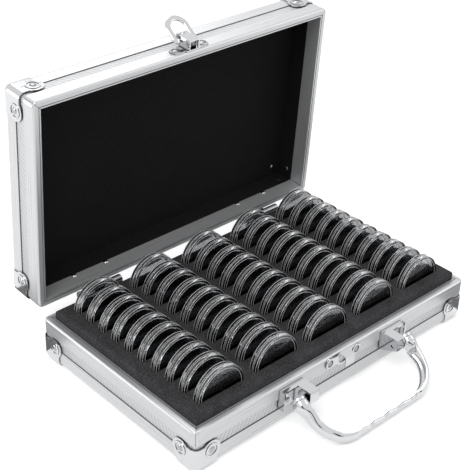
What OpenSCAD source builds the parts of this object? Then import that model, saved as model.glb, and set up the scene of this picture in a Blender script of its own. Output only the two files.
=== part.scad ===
// Coin display case: a shallow aluminium-clad case with a hinged lid, a draw latch, a bail handle and
// a foam block that holds fifty clear coin capsules upright.
// Frame: X runs along the long side, +Y to the hinges, +Z up. The origin is the middle of the footprint,
// on the surface that the four lower corner caps stand on. The lid is drawn open on its stop.

/* [Case] */
// Outside width of the case, over its walls
case_w = 318; // [304:1:380]
// Outside depth of the case, over its walls
case_d = 193; // [184:1:240]
// Height of the lower half, from its rim to the bottom trims
base_h = 38.5; // [35:0.5:60]
// Height of the lid, from its rim to the top trims
lid_h = 39; // [37:0.5:60]
// Angle that the lid is open, on the stop of its hinges
lid_open = 87; // [60:1:100]
// Gap between the two rims when the lid is shut
rim_gap = 0.3; // [0.2:0.1:1]

/* [Walls] */
// Radius of the outer edges and corners
edge_r = 5; // [4.9:0.1:5.6]
// Thickness of the sheet legs that lie outside the boards
skin_t = 0.8; // [0.6:0.1:1]
// Thickness of the wall boards
board_t = 5; // [4.6:0.1:6]
// Thickness of the top and bottom boards
deck_t = 4; // [3:0.1:5]
// Thickness of the rim extrusion's web and inner leg
rim_t = 1.2; // [1:0.1:1.5]
// Height of the rim extrusion's outer leg
rim_outer_leg = 13; // [9:0.5:14]
// Height of the rim extrusion's inner leg
rim_inner_leg = 15; // [12:0.5:18]
// Rounding of the rim's outer edge
rim_round = 2; // [1:0.1:2]
// Width of the fine groove along the rim's face
groove_w = 0.8; // [0.4:0.1:1]
// Depth of that groove
groove_depth = 0.5; // [0.2:0.1:0.8]
// Width of each leg of the edge trims
trim_leg = 15; // [12:0.5:16]
// Thickness of the lid's cloth lining on its card
lining_t = 0.8; // [0.5:0.1:1]
// Hairline left at each mitre, measured along the outer face
mitre_gap = 0.08; // [0.05:0.01:0.15]

/* [Corner caps] */
// Thickness of a cap, which is also how far it stands proud
cap_t = 1; // [0.6:0.1:1.5]
// Distance of a cap's rivets from both edges of their face
cap_rivet = 16; // [14:0.5:18]
// Radius of the rounded lobe round each rivet
cap_lobe_r = 8.7; // [7:0.1:9]
// Reach of a cap along the case's edges
cap_edge = 21.5; // [18:0.5:23]
// Height of the pressed ring round a rivet
ring_h = 0.5; // [0.3:0.1:0.8]
// Outer radius of that ring
ring_r = 6.2; // [5:0.1:6.6]
// Width of that ring
ring_w = 1.3; // [0.8:0.1:1.6]

/* [Rivets] */
// Radius of a rivet's shank
shank_r = 1.6; // [1.2:0.1:2]
// Radius of a rivet's domed head
head_r = 2.9; // [2.4:0.1:3.1]
// Height of a rivet's domed head
head_h = 1; // [0.6:0.1:1.2]

/* [Hinges] */
// Distance of the hinge axis behind the back wall
hinge_off = 5; // [4.5:0.1:7]
// Outer radius of the knuckles
knuckle_r = 4; // [3.4:0.1:4]
// Radius of the hinge pins
hinge_pin_r = 1.6; // [1.2:0.1:2]
// Radial clearance of every pin in its bore
pin_clear = 0.05; // [0.02:0.01:0.1]
// Width of a hinge
hinge_w = 44; // [40:1:60]
// Length of a leaf on its wall
leaf_h = 22; // [19:1:24]
// Thickness of a leaf
leaf_t = 1.2; // [1:0.1:1.5]
// Distance of each hinge from the middle of the case
hinge_x = 96; // [70:1:110]
// Distance between the two rivets of a leaf
leaf_rivets = 34; // [26:1:36]
// Distance of those rivets from the rim
leaf_rivet_h = 14; // [11:0.5:16]
// Gap between neighbouring knuckles
knuckle_gap = 0.3; // [0.2:0.1:0.5]

/* [Foam and capsules] */
// Columns of capsules, side by side
columns = 5; // [1:1:5]
// Rows of capsules, front to back
rows = 10; // [2:1:10]
// Distance between columns
pitch_x = 58.5; // [56:0.5:60]
// Distance between rows
pitch_y = 16.7; // [14:0.1:17]
// Height of the foam above the rim
foam_proud = 8; // [3:0.5:9]
// Gap between the foam and the rim's inner face
foam_gap = 0.6; // [0.6:0.1:2]
// Rounding of the foam's upper edges
foam_round = 3; // [1:0.5:4]
// Clearance of a capsule in its slot
slot_clear = 0.3; // [0.2:0.1:0.5]
// How far a capsule's middle lies below the foam's top
capsule_sink = 0.7; // [0:0.1:6]
// Outer diameter of a capsule
capsule_d = 46; // [36:0.5:48]
// Thickness of a shut capsule
capsule_t = 7.2; // [6:0.1:8]
// Width of a capsule's raised border
border_w = 2.7; // [2:0.1:4]
// Depth of the window below that border
window_depth = 1.2; // [1:0.1:1.4]
// Thickness of a capsule's window
window_t = 0.9; // [0.8:0.1:1]
// Radius of the space for a coin
coin_r = 19.8; // [12:0.1:20]
// Width and depth of the grooves round a capsule
capsule_groove = 0.5; // [0.3:0.1:0.6]

/* [Latch] */
// Distance of the lever's pivot above the rim
lever_up = 3.6; // [3.6:0.1:5]
// Distance of the lever's pivot in front of the wall
lever_out = 6.4; // [6:0.1:7]
// Length of the lever from its pivot to its tip
lever_len = 13.4; // [12:0.1:15]
// Outside width of the lever
lever_w = 11; // [9:0.1:11.2]
// Distance of the lever's outer face from its pivot
lever_depth = 3.5; // [3.3:0.1:4]
// Thickness of the latch's sheet
latch_t = 1; // [0.8:0.1:1.2]
// Radius of the lever's pin
lever_pin_r = 1.2; // [1:0.1:1.3]
// Distance of the loop's pivot along the lever
loop_along = 9.1; // [8:0.1:10]
// How far the loop's pivot lies nearer to the wall than the lever's
over_centre = 0.1; // [0:0.1:0.4]
// Radius of the loop's bent ends
loop_pin_r = 1.1; // [0.8:0.1:1.3]
// Width of the loop's bar
loop_bar_w = 5; // [3.6:0.1:5]
// Thickness of the loop's bar
loop_bar_t = 2.2; // [2:0.1:2.6]
// Radius of the loop's round end, at the middle of its bar
loop_r = 9.4; // [9.4:0.1:10.5]
// Distance of the shut loop's bar below the rim
hook_down = 7; // [7:0.1:8.5]
// Distance of the shut loop's bar in front of the wall
hook_out = 3.6; // [3.4:0.1:4]
// Width of the hook that the loop pulls on
hook_w = 10.5; // [8:0.5:11]
// Reach of the hook in front of the wall
hook_reach = 8.6; // [8:0.1:10]
// Height of the hook's lip
lip_h = 9.5; // [8:0.5:11]
// Angle that the lever is raised off its plate
lever_raised = 0; // [0:1:40]
// Angle between the loop and the wall
loop_raised = 36; // [20:0.5:90]
// Half the distance between the latch plate's rivets
latch_rivet_x = 14.8; // [14:0.1:18]
// Distance of those rivets above the rim
latch_rivet_up = 7; // [6:0.1:9]
// Half the distance between the catch's rivets
catch_rivet_x = 15.6; // [15:0.1:19]
// Distance of those rivets below the rim
catch_rivet_down = 6; // [5.6:0.1:8]
// Radius of the catch plate's round belly
belly_r = 9.5; // [8:0.1:10]
// Distance of the belly's lowest point below the rim
belly_down = 13.5; // [13:0.1:16]
// Radius of the plates' round ears
ear_r = 5; // [4.6:0.1:5.4]
// Free gap between latch pieces that pass each other
latch_gap = 0.3; // [0.2:0.1:0.4]

/* [Handle] */
// Half the outside width of the handle
handle_half_w = 66.8; // [60:0.1:90]
// Reach of the handle from its pivot
handle_reach = 47.5; // [40:0.5:60]
// Radius of the handle's outer corners
handle_corner_r = 30; // [22:0.5:34]
// Thickness of the handle's bar, and the radius of its outer edges
handle_t = 5.6; // [4.5:0.1:6]
// Thickness of the pressed sheet that the handle's hollow arms are made of
handle_wall = 1.4; // [1:0.1:2]
// Width of the handle's arms
arm_w = 15; // [12:0.5:15]
// Width of the handle's grip
grip_w = 12; // [9:0.5:14]
// Radius of the round knob that ends each arm
knob_r = 6.8; // [5.5:0.1:7]
// Height of that knob's flat end above the pivot
knob_top = 3; // [2.6:0.1:3]
// Number of finger hollows in the grip
fingers = 4; // [2:1:5]
// Distance between finger hollows
finger_pitch = 17; // [14:0.5:20]
// Radius of a finger hollow
finger_r = 30; // [24:1:60]
// Radius of the handle's pins
handle_pin_r = 2; // [1.6:0.1:2.2]
// Distance of the handle's axis in front of the wall
handle_out = 14; // [13:0.5:16]
// Distance of the handle's axis below the brackets' top
handle_down = 7.5; // [7:0.1:9]

/* [Handle brackets] */
// Distance of the brackets' top below the rim
bracket_down = 4; // [3:0.5:5]
// Height of the brackets' plate on the wall
bracket_h = 18; // [15:0.5:20]
// Width of the brackets' box
box_w = 9.8; // [8:0.1:14]
// Depth of the brackets' box
box_depth = 19; // [18:0.5:22]
// Height of that box at its front
box_front_h = 11; // [9:0.5:12]
// Depth of the shelf over the handle's knob
shelf_depth = 5.5; // [3:0.5:6]
// Thickness of the brackets' sheet
bracket_t = 1.4; // [1:0.1:1.6]
// Gap between the handle's knob and its bracket
knob_gap = 0.4; // [0.3:0.1:1]

/* [Hidden] */
$fn = 72;

// Walls: the rim extrusion's three layers add up to its width
rim_w = skin_t + board_t + rim_t;
turned_w = edge_r - 2;
deck_zone = skin_t + deck_t;
rim_z = cap_t + base_h;
lid_z = rim_z + rim_gap;
hinge_z = rim_z + rim_gap / 2;
far = 400;
tiny = 0.01;

// Foam and capsules
foam_top = rim_z + foam_proud;
foam_bottom = cap_t + deck_zone;
foam_w = case_w - 2 * (rim_w + foam_gap);
foam_d = case_d - 2 * (rim_w + foam_gap);
capsule_r = capsule_d / 2;
capsule_z = foam_top - capsule_sink;
window_r = capsule_r - border_w;

// Latch, in the shut lid: distances in front of the wall and above the lid's rim. The loop's round end
// meets the hook at the hook's two lower edges, which sets the height of the hook's underside.
loop_out = lever_out - over_centre;
loop_up = lever_up + loop_along;
hook_drop = loop_up + hook_down + rim_gap;
loop_len = norm([loop_out - hook_out, hook_drop]);
loop_inner_r = loop_r - loop_bar_w / 2;
loop_sagitta = loop_inner_r - sqrt(loop_inner_r * loop_inner_r - hook_w * hook_w / 4);
hook_under = hook_down - loop_bar_w / 2 - loop_sagitta - latch_gap;
lever_swing_r = lever_out - latch_t - latch_gap;
lever_foot = min(lever_up, sqrt(lever_swing_r * lever_swing_r - lever_depth * lever_depth));
lug_x = lever_w / 2 - latch_t - latch_gap;
lug_r = lever_depth - latch_t - latch_gap;
plate_up = 1.2;
plate_h = 13;
front_y = -case_d / 2;

// Handle: it lies with its grip on the surface that the case stands on, or hangs if it can't reach it
floor_gap = 0.1;
handle_z = rim_z - bracket_down - handle_down;
grip_down = handle_reach - handle_t;
grip_side = grip_w / 2 - handle_t;
droop_sine = (handle_z - handle_t - floor_gap) / norm([grip_down, grip_side]);
handle_droop = asin(min(1, droop_sine)) - atan2(grip_side, grip_down);
knob_x = handle_half_w - handle_t / 2;
box_x = knob_x - knob_r - knob_gap - box_w;
bracket_w = box_w + 2 * (knob_r + knob_gap) + bracket_t;
bracket_z = rim_z - bracket_down;

// The origin lies midway between the grip's front and the back of the open lid, which is one of its
// top rivets. Both are measured from the case's middle, and so is the front wall.
grip_front = front_y - handle_out - handle_t
    - grip_down * cos(handle_droop) - grip_side * sin(handle_droop);
rivet_ball = dome_ball(head_r, head_h);
lid_back = case_d / 2 + hinge_off - (hinge_off + cap_rivet) * cos(lid_open)
    + (lid_z - hinge_z + lid_h + cap_t + head_h - rivet_ball) * sin(lid_open) + rivet_ball;
middle_y = -(grip_front + lid_back) / 2;
hinge_y = middle_y + case_d / 2 + hinge_off;
handle_y = middle_y + front_y - handle_out;

// ---- Helpers ----

// Puts a piece of the shut lid where the open lid holds it.
module in_open_lid() {
    translate([0, hinge_y, hinge_z]) rotate([-lid_open, 0, 0]) translate([0, -hinge_y, -hinge_z]) children();
}

// A side of a four-sided frame, drawn along X with its outer face at y = 0. The child is the profile:
// x is the distance in from the outer face and y is the height. The ends are mitred. A round corner
// turns the profile's outer part; otherwise that part stops where the corner's rounding begins.
module mitred_side(len, round_corners = true) {
    intersection() {
        union() {
            translate([edge_r - len / 2, 0, 0]) rotate([90, 0, 90]) linear_extrude(len - 2 * edge_r)
                profile_part(0, turned_w) children();
            translate([-len / 2, 0, 0]) rotate([90, 0, 90]) linear_extrude(len)
                profile_part(turned_w, far) children();
            if (round_corners) for (end = [0, 1]) mirror([end, 0, 0])
                translate([len / 2 - edge_r, edge_r, 0]) rotate([0, 0, -90]) rotate_extrude(angle = 50)
                    translate([edge_r, 0]) mirror([1, 0]) profile_part(0, turned_w) children();
        }
        translate([0, 0, -far / 2]) linear_extrude(far)
            polygon([[mitre_gap - len / 2 - 1, -1], [len / 2 - mitre_gap + 1, -1], [0, len / 2 - mitre_gap]]);
    }
}

// The part of a profile between two distances from the outer face.
module profile_part(from, to) {
    intersection() {
        children();
        translate([from, -far / 2]) square([to - from, far]);
    }
}

// Places a side at the front (0), right (1), back (2) or left (3) of the case.
module at_side(side) {
    reach = side % 2 == 0 ? case_d / 2 : case_w / 2;
    rotate([0, 0, 90 * side]) translate([0, -reach, 0]) children();
}
function side_len(side) = side % 2 == 0 ? case_w : case_d;

// The two halves are drawn with the rim at z = 0 and the wall rising from it.
module base_half() {
    translate([0, middle_y, rim_z]) mirror([0, 0, 1]) children();
}
module lid_half() {
    translate([0, middle_y, lid_z]) children();
}

// A rivet that points along +Z into the wall, with its head's seat at z = 0.
module rivet(grip, tail_h = 0) {
    dome(head_r, head_h);
    cylinder(r = shank_r, h = grip);
    if (tail_h > 0) translate([0, 0, grip]) mirror([0, 0, 1]) dome(head_r - 0.3, tail_h);
}

// A domed cap of radius r and height h, rising along -Z from z = 0.
function dome_ball(r, h) = (r * r + h * h) / (2 * h);
module dome(r, h) {
    ball = dome_ball(r, h);
    intersection() {
        translate([0, 0, ball - h]) sphere(ball);
        translate([-r, -r, -h]) cube([2 * r, 2 * r, h]);
    }
}

// ---- Walls, rims, trims and boards, shared by both halves ----

module board_profile(h) {
    translate([skin_t, rim_t]) square([board_t, h - rim_t - deck_zone]);
}

module rim_profile() {
    groove_x = rim_w - rim_t - groove_w;
    difference() {
        union() {
            square([rim_w, rim_t]);
            square([skin_t, rim_outer_leg]);
            translate([rim_w - rim_t, 0]) square([rim_t, rim_inner_leg]);
            translate([skin_t, rim_t]) square(0.8);
        }
        difference() {
            translate([-tiny, -tiny]) square(rim_round + tiny);
            translate([rim_round, rim_round]) circle(rim_round);
        }
        translate([groove_x, -tiny]) square([groove_w, groove_depth + tiny]);
    }
}

// The board's outer corner is bevelled under the rim's rounded edge.
module board_relief() {
    translate([skin_t, rim_t]) square(0.8);
}

module trim_profile(h) {
    translate([0, h]) mirror([0, 1]) difference() {
        union() {
            square([skin_t, trim_leg]);
            square([trim_leg, skin_t]);
            square([edge_r, deck_zone]);
        }
        difference() {
            translate([-tiny, -tiny]) square(edge_r + tiny);
            translate([edge_r, edge_r]) circle(edge_r);
        }
    }
}

module wall_panel(side, h) {
    at_side(side) mitred_side(side_len(side)) difference() {
        board_profile(h);
        board_relief();
    }
}

module rim_frame() {
    for (side = [0 : 3]) at_side(side) mitred_side(side_len(side)) rim_profile();
}

module edge_trims(h) {
    for (side = [0 : 3]) at_side(side) mitred_side(side_len(side), false) trim_profile(h);
}

module deck(h) {
    translate([edge_r - case_w / 2, edge_r - case_d / 2, h - deck_zone])
        cube([case_w - 2 * edge_r, case_d - 2 * edge_r, deck_t]);
}

// ---- Corner caps ----

// The corner of a box with rounded edges: its faces at -grow, its edges of radius edge_r + grow.
module round_corner(grow, reach) {
    r = edge_r + grow;
    translate([edge_r, edge_r, edge_r]) sphere(r);
    for (turn = [0 : 2]) about_corner(turn) {
        translate([edge_r, edge_r, edge_r]) cylinder(r = r, h = reach - edge_r);
        translate([edge_r, edge_r, -grow]) cube([reach - edge_r, reach - edge_r, reach + grow]);
    }
}

// Turns a piece drawn for the face z = 0 on to each of a corner's three faces.
module about_corner(turn) {
    if (turn == 0) children();
    if (turn == 1) rotate([90, 0, 90]) children();
    if (turn == 2) rotate([0, -90, -90]) children();
}

module cap_outline() {
    translate([cap_rivet, cap_rivet]) circle(cap_lobe_r);
    translate([-cap_t, -cap_t]) square([cap_rivet + cap_t, cap_edge + cap_t]);
    translate([-cap_t, -cap_t]) square([cap_edge + cap_t, cap_rivet + cap_t]);
}

// One cap at the origin's corner. The face z = 0 is the one that a lower cap stands on.
module corner_cap(stands) {
    reach = cap_rivet + cap_lobe_r + 1;
    difference() {
        union() {
            intersection() {
                difference() {
                    round_corner(cap_t, reach);
                    round_corner(0, reach + 1);
                }
                union() {
                    for (turn = [0 : 2]) about_corner(turn)
                        translate([0, 0, -cap_t]) linear_extrude(cap_t + edge_r) cap_outline();
                }
            }
            for (turn = [stands ? 1 : 0 : 2]) about_corner(turn)
                translate([cap_rivet, cap_rivet, -cap_t - ring_h]) difference() {
                    cylinder(r = ring_r, h = ring_h);
                    translate([0, 0, -1]) cylinder(r = ring_r - ring_w, h = ring_h + 2);
                }
        }
        for (turn = [0 : 2]) about_corner(turn)
            translate([cap_rivet, cap_rivet, -cap_t - 1]) cylinder(r = shank_r, h = cap_t + 2);
        if (stands)
            translate([cap_rivet, cap_rivet, -cap_t - 1]) cylinder(r = head_r + 0.2, h = 1.7);
    }
}

// Puts a piece at each corner of a half whose outer face is at height h above its rim.
module at_corners(h) {
    for (mx = [0, 1], my = [0, 1])
        mirror([mx, 0, 0]) mirror([0, my, 0]) translate([-case_w / 2, -case_d / 2, h]) mirror([0, 0, 1]) children();
}

// The rivets of one cap. On the face that a cap stands on, the head lies in a sunk seat.
// A rivet with a tail is clenched over the lining.
module cap_rivets(stands, tail_h) {
    cloth = tail_h > 0 ? lining_t : 0;
    for (turn = [0 : 2]) about_corner(turn)
        translate([cap_rivet, cap_rivet, 0])
            if (turn == 0 && stands) sunk_rivet();
            else translate([0, 0, -cap_t])
                rivet(cap_t + (turn == 0 ? deck_zone : skin_t + board_t) + cloth, tail_h);
}

module sunk_rivet() {
    seat = 0.7 - cap_t;
    translate([0, 0, seat]) cylinder(r = shank_r, h = deck_zone - seat);
    translate([0, 0, seat]) dome(head_r, 0.6);
}

module cap_bores() {
    for (turn = [0 : 2]) about_corner(turn)
        translate([cap_rivet, cap_rivet, -cap_t]) cylinder(r = shank_r, h = cap_t + rim_w + 6);
}

// ---- Rivet positions on the walls: [x, height above the rim] ----

leaf_points = [for (s = [-1, 1], r = [-1, 1]) [s * hinge_x + r * leaf_rivets / 2, leaf_rivet_h]];
catch_points = [for (s = [-1, 1]) [s * catch_rivet_x, catch_rivet_down]];
latch_points = [for (s = [-1, 1]) [s * latch_rivet_x, latch_rivet_up]];
bracket_points = [for (s = [-1, 1], x = [box_x + box_w / 2, knob_x]) [s * x, bracket_down + bracket_h - 5]];

// Puts a piece on the front (-1) or back (1) wall of a half, pointing into the wall.
module on_wall(face, points) {
    for (p = points) translate([p[0], face * case_d / 2, p[1]]) rotate([face * 90, 0, 0]) children();
}

module wall_bores(face, points) {
    on_wall(face, points) translate([0, 0, -2]) cylinder(r = shank_r, h = rim_w + 4);
}

module base_bores() {
    at_corners(base_h) cap_bores();
    wall_bores(1, leaf_points);
    wall_bores(-1, catch_points);
    wall_bores(-1, bracket_points);
}

module lid_bores() {
    at_corners(lid_h) cap_bores();
    wall_bores(1, leaf_points);
    wall_bores(-1, latch_points);
}

// ---- Lower half ----

module base_part() {
    base_half() difference() {
        children();
        base_bores();
    }
}

module base_bottom_panel() { color("#2b2b2b") base_part() deck(base_h); }
module base_front_panel() { color("#c9cacc") base_part() wall_panel(0, base_h); }
module base_right_panel() { color("#c9cacc") base_part() wall_panel(1, base_h); }
module base_back_panel() { color("#c9cacc") base_part() wall_panel(2, base_h); }
module base_left_panel() { color("#c9cacc") base_part() wall_panel(3, base_h); }
module base_rim() { color("#d8d9da") base_part() rim_frame(); }
module base_edge_trims() { color("#d8d9da") base_part() edge_trims(base_h); }
module base_corner_caps() { color("#e2e3e4") base_half() at_corners(base_h) corner_cap(true); }
module base_cap_rivets() { color("#d0d0d0") base_half() at_corners(base_h) cap_rivets(true, 0); }

// A block with its four upper edges rounded, and a round-bottomed slot for each capsule.
module foam_insert() {
    color("#3c3c3c") difference() {
        translate([0, middle_y, 0]) intersection() {
            rotate([90, 0, 90]) translate([0, 0, -foam_w / 2]) linear_extrude(foam_w) foam_section(foam_d);
            rotate([90, 0, 0]) translate([0, 0, -foam_d / 2]) linear_extrude(foam_d) foam_section(foam_w);
        }
        for (c = [1 : columns], r = [1 : rows])
            at_capsule(c, r) rotate([90, 0, 0])
                cylinder(r = capsule_r + slot_clear, h = capsule_t + 2 * slot_clear, center = true);
    }
}

module foam_section(w) {
    translate([-w / 2, foam_bottom]) square([w, foam_top - foam_bottom - foam_round]);
    translate([foam_round - w / 2, foam_bottom]) square([w - 2 * foam_round, foam_top - foam_bottom]);
    for (s = [-1, 1]) translate([s * (w / 2 - foam_round), foam_top - foam_round]) circle(foam_round);
}

// ---- Capsules: column 1 is at the left, row 1 at the back ----

module at_capsule(c, r) {
    translate([(c - (columns + 1) / 2) * pitch_x, middle_y + ((rows + 1) / 2 - r) * pitch_y, capsule_z])
        children();
}

// Half of a capsule, turned about the Z axis from the parting plane at z = 0.
module capsule_half() {
    half = capsule_t / 2;
    chamfer = 0.4;
    window = half - window_depth;
    rotate_extrude() difference() {
        polygon([[0, window - window_t], [coin_r, window - window_t], [coin_r, 0],
            [capsule_r - capsule_groove, 0], [capsule_r - capsule_groove, capsule_groove],
            [capsule_r, capsule_groove], [capsule_r, half - chamfer], [capsule_r - chamfer, half],
            [window_r, half], [window_r, window], [0, window]]);
        translate([capsule_r - capsule_groove, half / 2 + capsule_groove / 2])
            square([1, capsule_groove]);
    }
}

module capsule_front() { rotate([90, 0, 0]) capsule_half(); }
module capsule_back() { rotate([-90, 0, 0]) capsule_half(); }

module capsule_fronts(c) {
    color("#dfe6ea") if (c <= columns) for (r = [1 : rows - 1]) at_capsule(c, r) capsule_front();
}
module capsule_backs(c) {
    color("#d5dce0") if (c <= columns) for (r = [1 : rows - 1]) at_capsule(c, r) capsule_back();
}
module loose_capsule_front(c) { color("#dfe6ea") if (c <= columns) at_capsule(c, rows) capsule_front(); }
module loose_capsule_back(c) { color("#d5dce0") if (c <= columns) at_capsule(c, rows) capsule_back(); }

// ---- Hinges: strap leaves on the back walls, rolled round a pin behind the rims ----

// A leaf drawn above the axis, with the wall at y = -hinge_off. The knuckles lie between the given ends.
module leaf(knuckles) {
    gap = rim_gap / 2;
    web = knuckle_r - leaf_t;
    difference() {
        union() {
            translate([-hinge_w / 2, -hinge_off, web]) cube([hinge_w, leaf_t, leaf_h - web]);
            for (k = knuckles) translate([k[0], 0, 0]) {
                rotate([0, 90, 0]) cylinder(r = knuckle_r, h = k[1] - k[0]);
                translate([0, -hinge_off, web]) cube([k[1] - k[0], hinge_off, leaf_t]);
            }
        }
        translate([-hinge_w, 0, 0]) rotate([0, 90, 0]) cylinder(r = hinge_pin_r + pin_clear, h = 2 * hinge_w);
        for (s = [-1, 1]) translate([s * leaf_rivets / 2, -hinge_off, leaf_rivet_h + gap])
            rotate([90, 0, 0]) cylinder(r = shank_r, h = 20, center = true);
    }
}

knuckle_w = (hinge_w - 2 * knuckle_gap) / 3;
outer_knuckles = [[-hinge_w / 2, knuckle_w - hinge_w / 2], [hinge_w / 2 - knuckle_w, hinge_w / 2]];
middle_knuckle = [[-knuckle_w / 2, knuckle_w / 2]];

module at_hinges() {
    for (s = [-1, 1]) translate([s * hinge_x, hinge_y, hinge_z]) children();
}

module hinge_base_leaves() { color("#d0d1d3") at_hinges() mirror([0, 0, 1]) leaf(outer_knuckles); }
module hinge_lid_leaves() { color("#d0d1d3") in_open_lid() at_hinges() leaf(middle_knuckle); }
module hinge_pins() {
    head_t = 0.8;
    color("#b8b9bb") at_hinges() {
        translate([-hinge_w / 2, 0, 0]) rotate([0, 90, 0]) cylinder(r = hinge_pin_r, h = hinge_w);
        for (s = [0, 1]) mirror([s, 0, 0]) translate([hinge_w / 2, 0, 0]) rotate([0, 90, 0])
            cylinder(r = hinge_pin_r + 0.7, h = head_t);
    }
}
module hinge_base_rivets() {
    color("#d0d0d0") base_half() on_wall(1, leaf_points) translate([0, 0, -leaf_t]) rivet(leaf_t + rim_w);
}

// ---- Catch, on the front wall of the lower half ----

// Two round ears joined by a strip, drawn on the wall plane: x across, y up from the rim.
module eared_plate(ear_x, ear_up) {
    for (s = [-1, 1]) translate([s * ear_x, ear_up]) circle(ear_r);
    translate([-ear_x, ear_up - ear_r]) square([2 * ear_x, 2 * ear_r]);
}

// A raised ring round each ear's rivet.
module ear_rings(ear_x, ear_up) {
    for (s = [-1, 1]) translate([s * ear_x, ear_up]) difference() {
        circle(ear_r - 0.4);
        circle(ear_r - 0.4 - ring_w);
    }
}

// Stands a drawing of the front wall up on the wall, outside it, from one depth to another.
module on_front(from, to) {
    translate([0, front_y - from, 0]) rotate([90, 0, 0]) linear_extrude(to - from) children();
}

// The plate, and the hook: a tongue pressed out of the plate over a round window, bent twice.
module catch_plate() {
    top = hook_under - latch_t;
    rib_x = catch_rivet_x - 4;
    color("#cfd0d2") translate([0, middle_y, rim_z]) difference() {
        union() {
            on_front(0, latch_t) intersection() {
                union() {
                    eared_plate(catch_rivet_x, -catch_rivet_down);
                    translate([0, belly_r - belly_down]) circle(belly_r);
                }
                translate([-far / 2, -far - top]) square([far, far]);
            }
            on_front(latch_t, latch_t + ring_h) ear_rings(catch_rivet_x, -catch_rivet_down);
            on_front(latch_t, 2 * latch_t) translate([-rib_x, -top - 0.8]) square([2 * rib_x, 0.8]);
            on_front(0, hook_reach) translate([-hook_w / 2, -hook_under]) square([hook_w, latch_t]);
            on_front(hook_reach - latch_t, hook_reach) hook_lip(top);
        }
        on_front(-tiny, latch_t + tiny) hook_window();
        mirror([0, 0, 1]) wall_bores(-1, catch_points);
    }
}

// The hook's lip, with rounded lower corners.
module hook_lip(top) {
    r = 1.5;
    translate([-hook_w / 2, r - top - lip_h]) square([hook_w, lip_h - r]);
    translate([r - hook_w / 2, -top - lip_h]) square([hook_w - 2 * r, r + tiny]);
    for (s = [-1, 1]) translate([s * (hook_w / 2 - r), r - top - lip_h]) circle(r);
}

// The window that the tongue leaves in the plate.
module hook_window() {
    r = hook_w / 2 + 0.4;
    down = belly_down - 1.4 - r;
    translate([-r, -down]) square([2 * r, down - hook_under]);
    translate([0, -down]) circle(r);
}

module catch_rivets() {
    color("#d0d0d0") base_half() on_wall(-1, catch_points) translate([0, 0, -latch_t]) rivet(latch_t + rim_w);
}

// ---- Latch, on the front wall of the lid ----

module at_latch() { in_open_lid() lid_half() children(); }

module latch_plate() {
    color("#cfd0d2") at_latch() difference() {
        union() {
            on_front(0, latch_t) {
                eared_plate(latch_rivet_x, latch_rivet_up);
                translate([-lever_w / 2 - 2, plate_up]) square([lever_w + 4, plate_h]);
            }
            on_front(latch_t, latch_t + ring_h) ear_rings(latch_rivet_x, latch_rivet_up);
            for (s = [0, 1]) mirror([s, 0, 0]) translate([lug_x - latch_t, front_y, lever_up]) rotate([0, 90, 0])
                linear_extrude(latch_t) {
                    translate([0, -lever_out]) circle(lug_r);
                    translate([-lug_r, -lever_out]) square([2 * lug_r, lever_out]);
                }
        }
        translate([-far / 2, front_y - lever_out, lever_up]) rotate([0, 90, 0])
            cylinder(r = lever_pin_r, h = far);
        wall_bores(-1, latch_points);
    }
}

module latch_rivets() {
    color("#d0d0d0") in_open_lid() lid_half() on_wall(-1, latch_points)
        translate([0, 0, -latch_t]) rivet(latch_t + rim_w, 0.8);
}

module lever_pin() {
    len = lever_w / 2 + 0.3;
    color("#b8b9bb") at_latch() translate([-len, front_y - lever_out, lever_up]) rotate([0, 90, 0])
        cylinder(r = lever_pin_r, h = 2 * len);
}

// Turns a piece about the lever's pivot, away from the wall.
module raised_lever() {
    at_latch() translate([0, front_y - lever_out, lever_up]) rotate([lever_raised, 0, 0]) children();
}

// The lever: a deep folded channel that straddles the plate's lugs, drawn shut with its pivot at the
// origin. Its sides are round below the pivot, so that they swing clear of the plate, and end at the rim.
module latch_lever() {
    half = lever_w / 2;
    tip_fold = 3;
    color("#d6d7d9") raised_lever() difference() {
        union() {
            for (s = [0, 1]) mirror([s, 0, 0]) translate([half - latch_t, 0, 0]) rotate([90, 0, 90])
                linear_extrude(latch_t) lever_side();
            rotate([90, 0, 90]) translate([0, 0, -half]) linear_extrude(lever_w) {
                translate([-lever_depth, -lever_foot]) square([latch_t, lever_foot + lever_len]);
                translate([-lever_depth, lever_len - latch_t]) square([tip_fold, latch_t]);
            }
        }
        rotate([0, 90, 0]) cylinder(r = lever_pin_r + pin_clear, h = far, center = true);
        translate([0, over_centre, loop_along]) rotate([0, 90, 0])
            cylinder(r = loop_pin_r + pin_clear, h = far, center = true);
    }
}

// One side of the lever: x points to the wall and y points to the tip.
module lever_side() {
    slant = 3;
    intersection() {
        circle(lever_swing_r);
        translate([-lever_depth, -lever_foot]) square([lever_depth + lever_swing_r, lever_foot + tiny]);
    }
    polygon([[-lever_depth, 0], [lever_swing_r, 0], [lever_swing_r, lever_len - slant],
        [lever_swing_r - slant, lever_len], [-lever_depth, lever_len]]);
}

// The loop: a flat bar bent round, with its two ends turned in to the lever's sides.
module latch_loop() {
    leg = loop_len - loop_r;
    side = lever_w / 2;
    color("#d6d7d9") raised_lever() translate([0, over_centre, loop_along])
        rotate([loop_raised - lever_raised, 0, 0]) {
            translate([0, 0, leg]) rotate([90, 0, 0]) rotate_extrude(angle = 180) translate([loop_r, 0]) bar_section();
            for (s = [0, 1]) mirror([s, 0, 0]) {
                translate([loop_r, 0, 0]) linear_extrude(leg) bar_section();
                translate([loop_r, 0, 0]) rotate([90, 0, 0])
                    cylinder(r = loop_bar_w / 2, h = loop_bar_t, center = true);
                translate([side - latch_t, 0, 0]) rotate([0, 90, 0])
                    cylinder(r = loop_pin_r, h = loop_r - side + latch_t);
            }
        }
}

module bar_section() {
    r = loop_bar_t / 2;
    for (s = [-1, 1]) translate([s * (loop_bar_w / 2 - r), 0]) circle(r);
    translate([r - loop_bar_w / 2, -r]) square([loop_bar_w - 2 * r, 2 * r]);
}

// ---- Handle and its brackets ----

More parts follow.
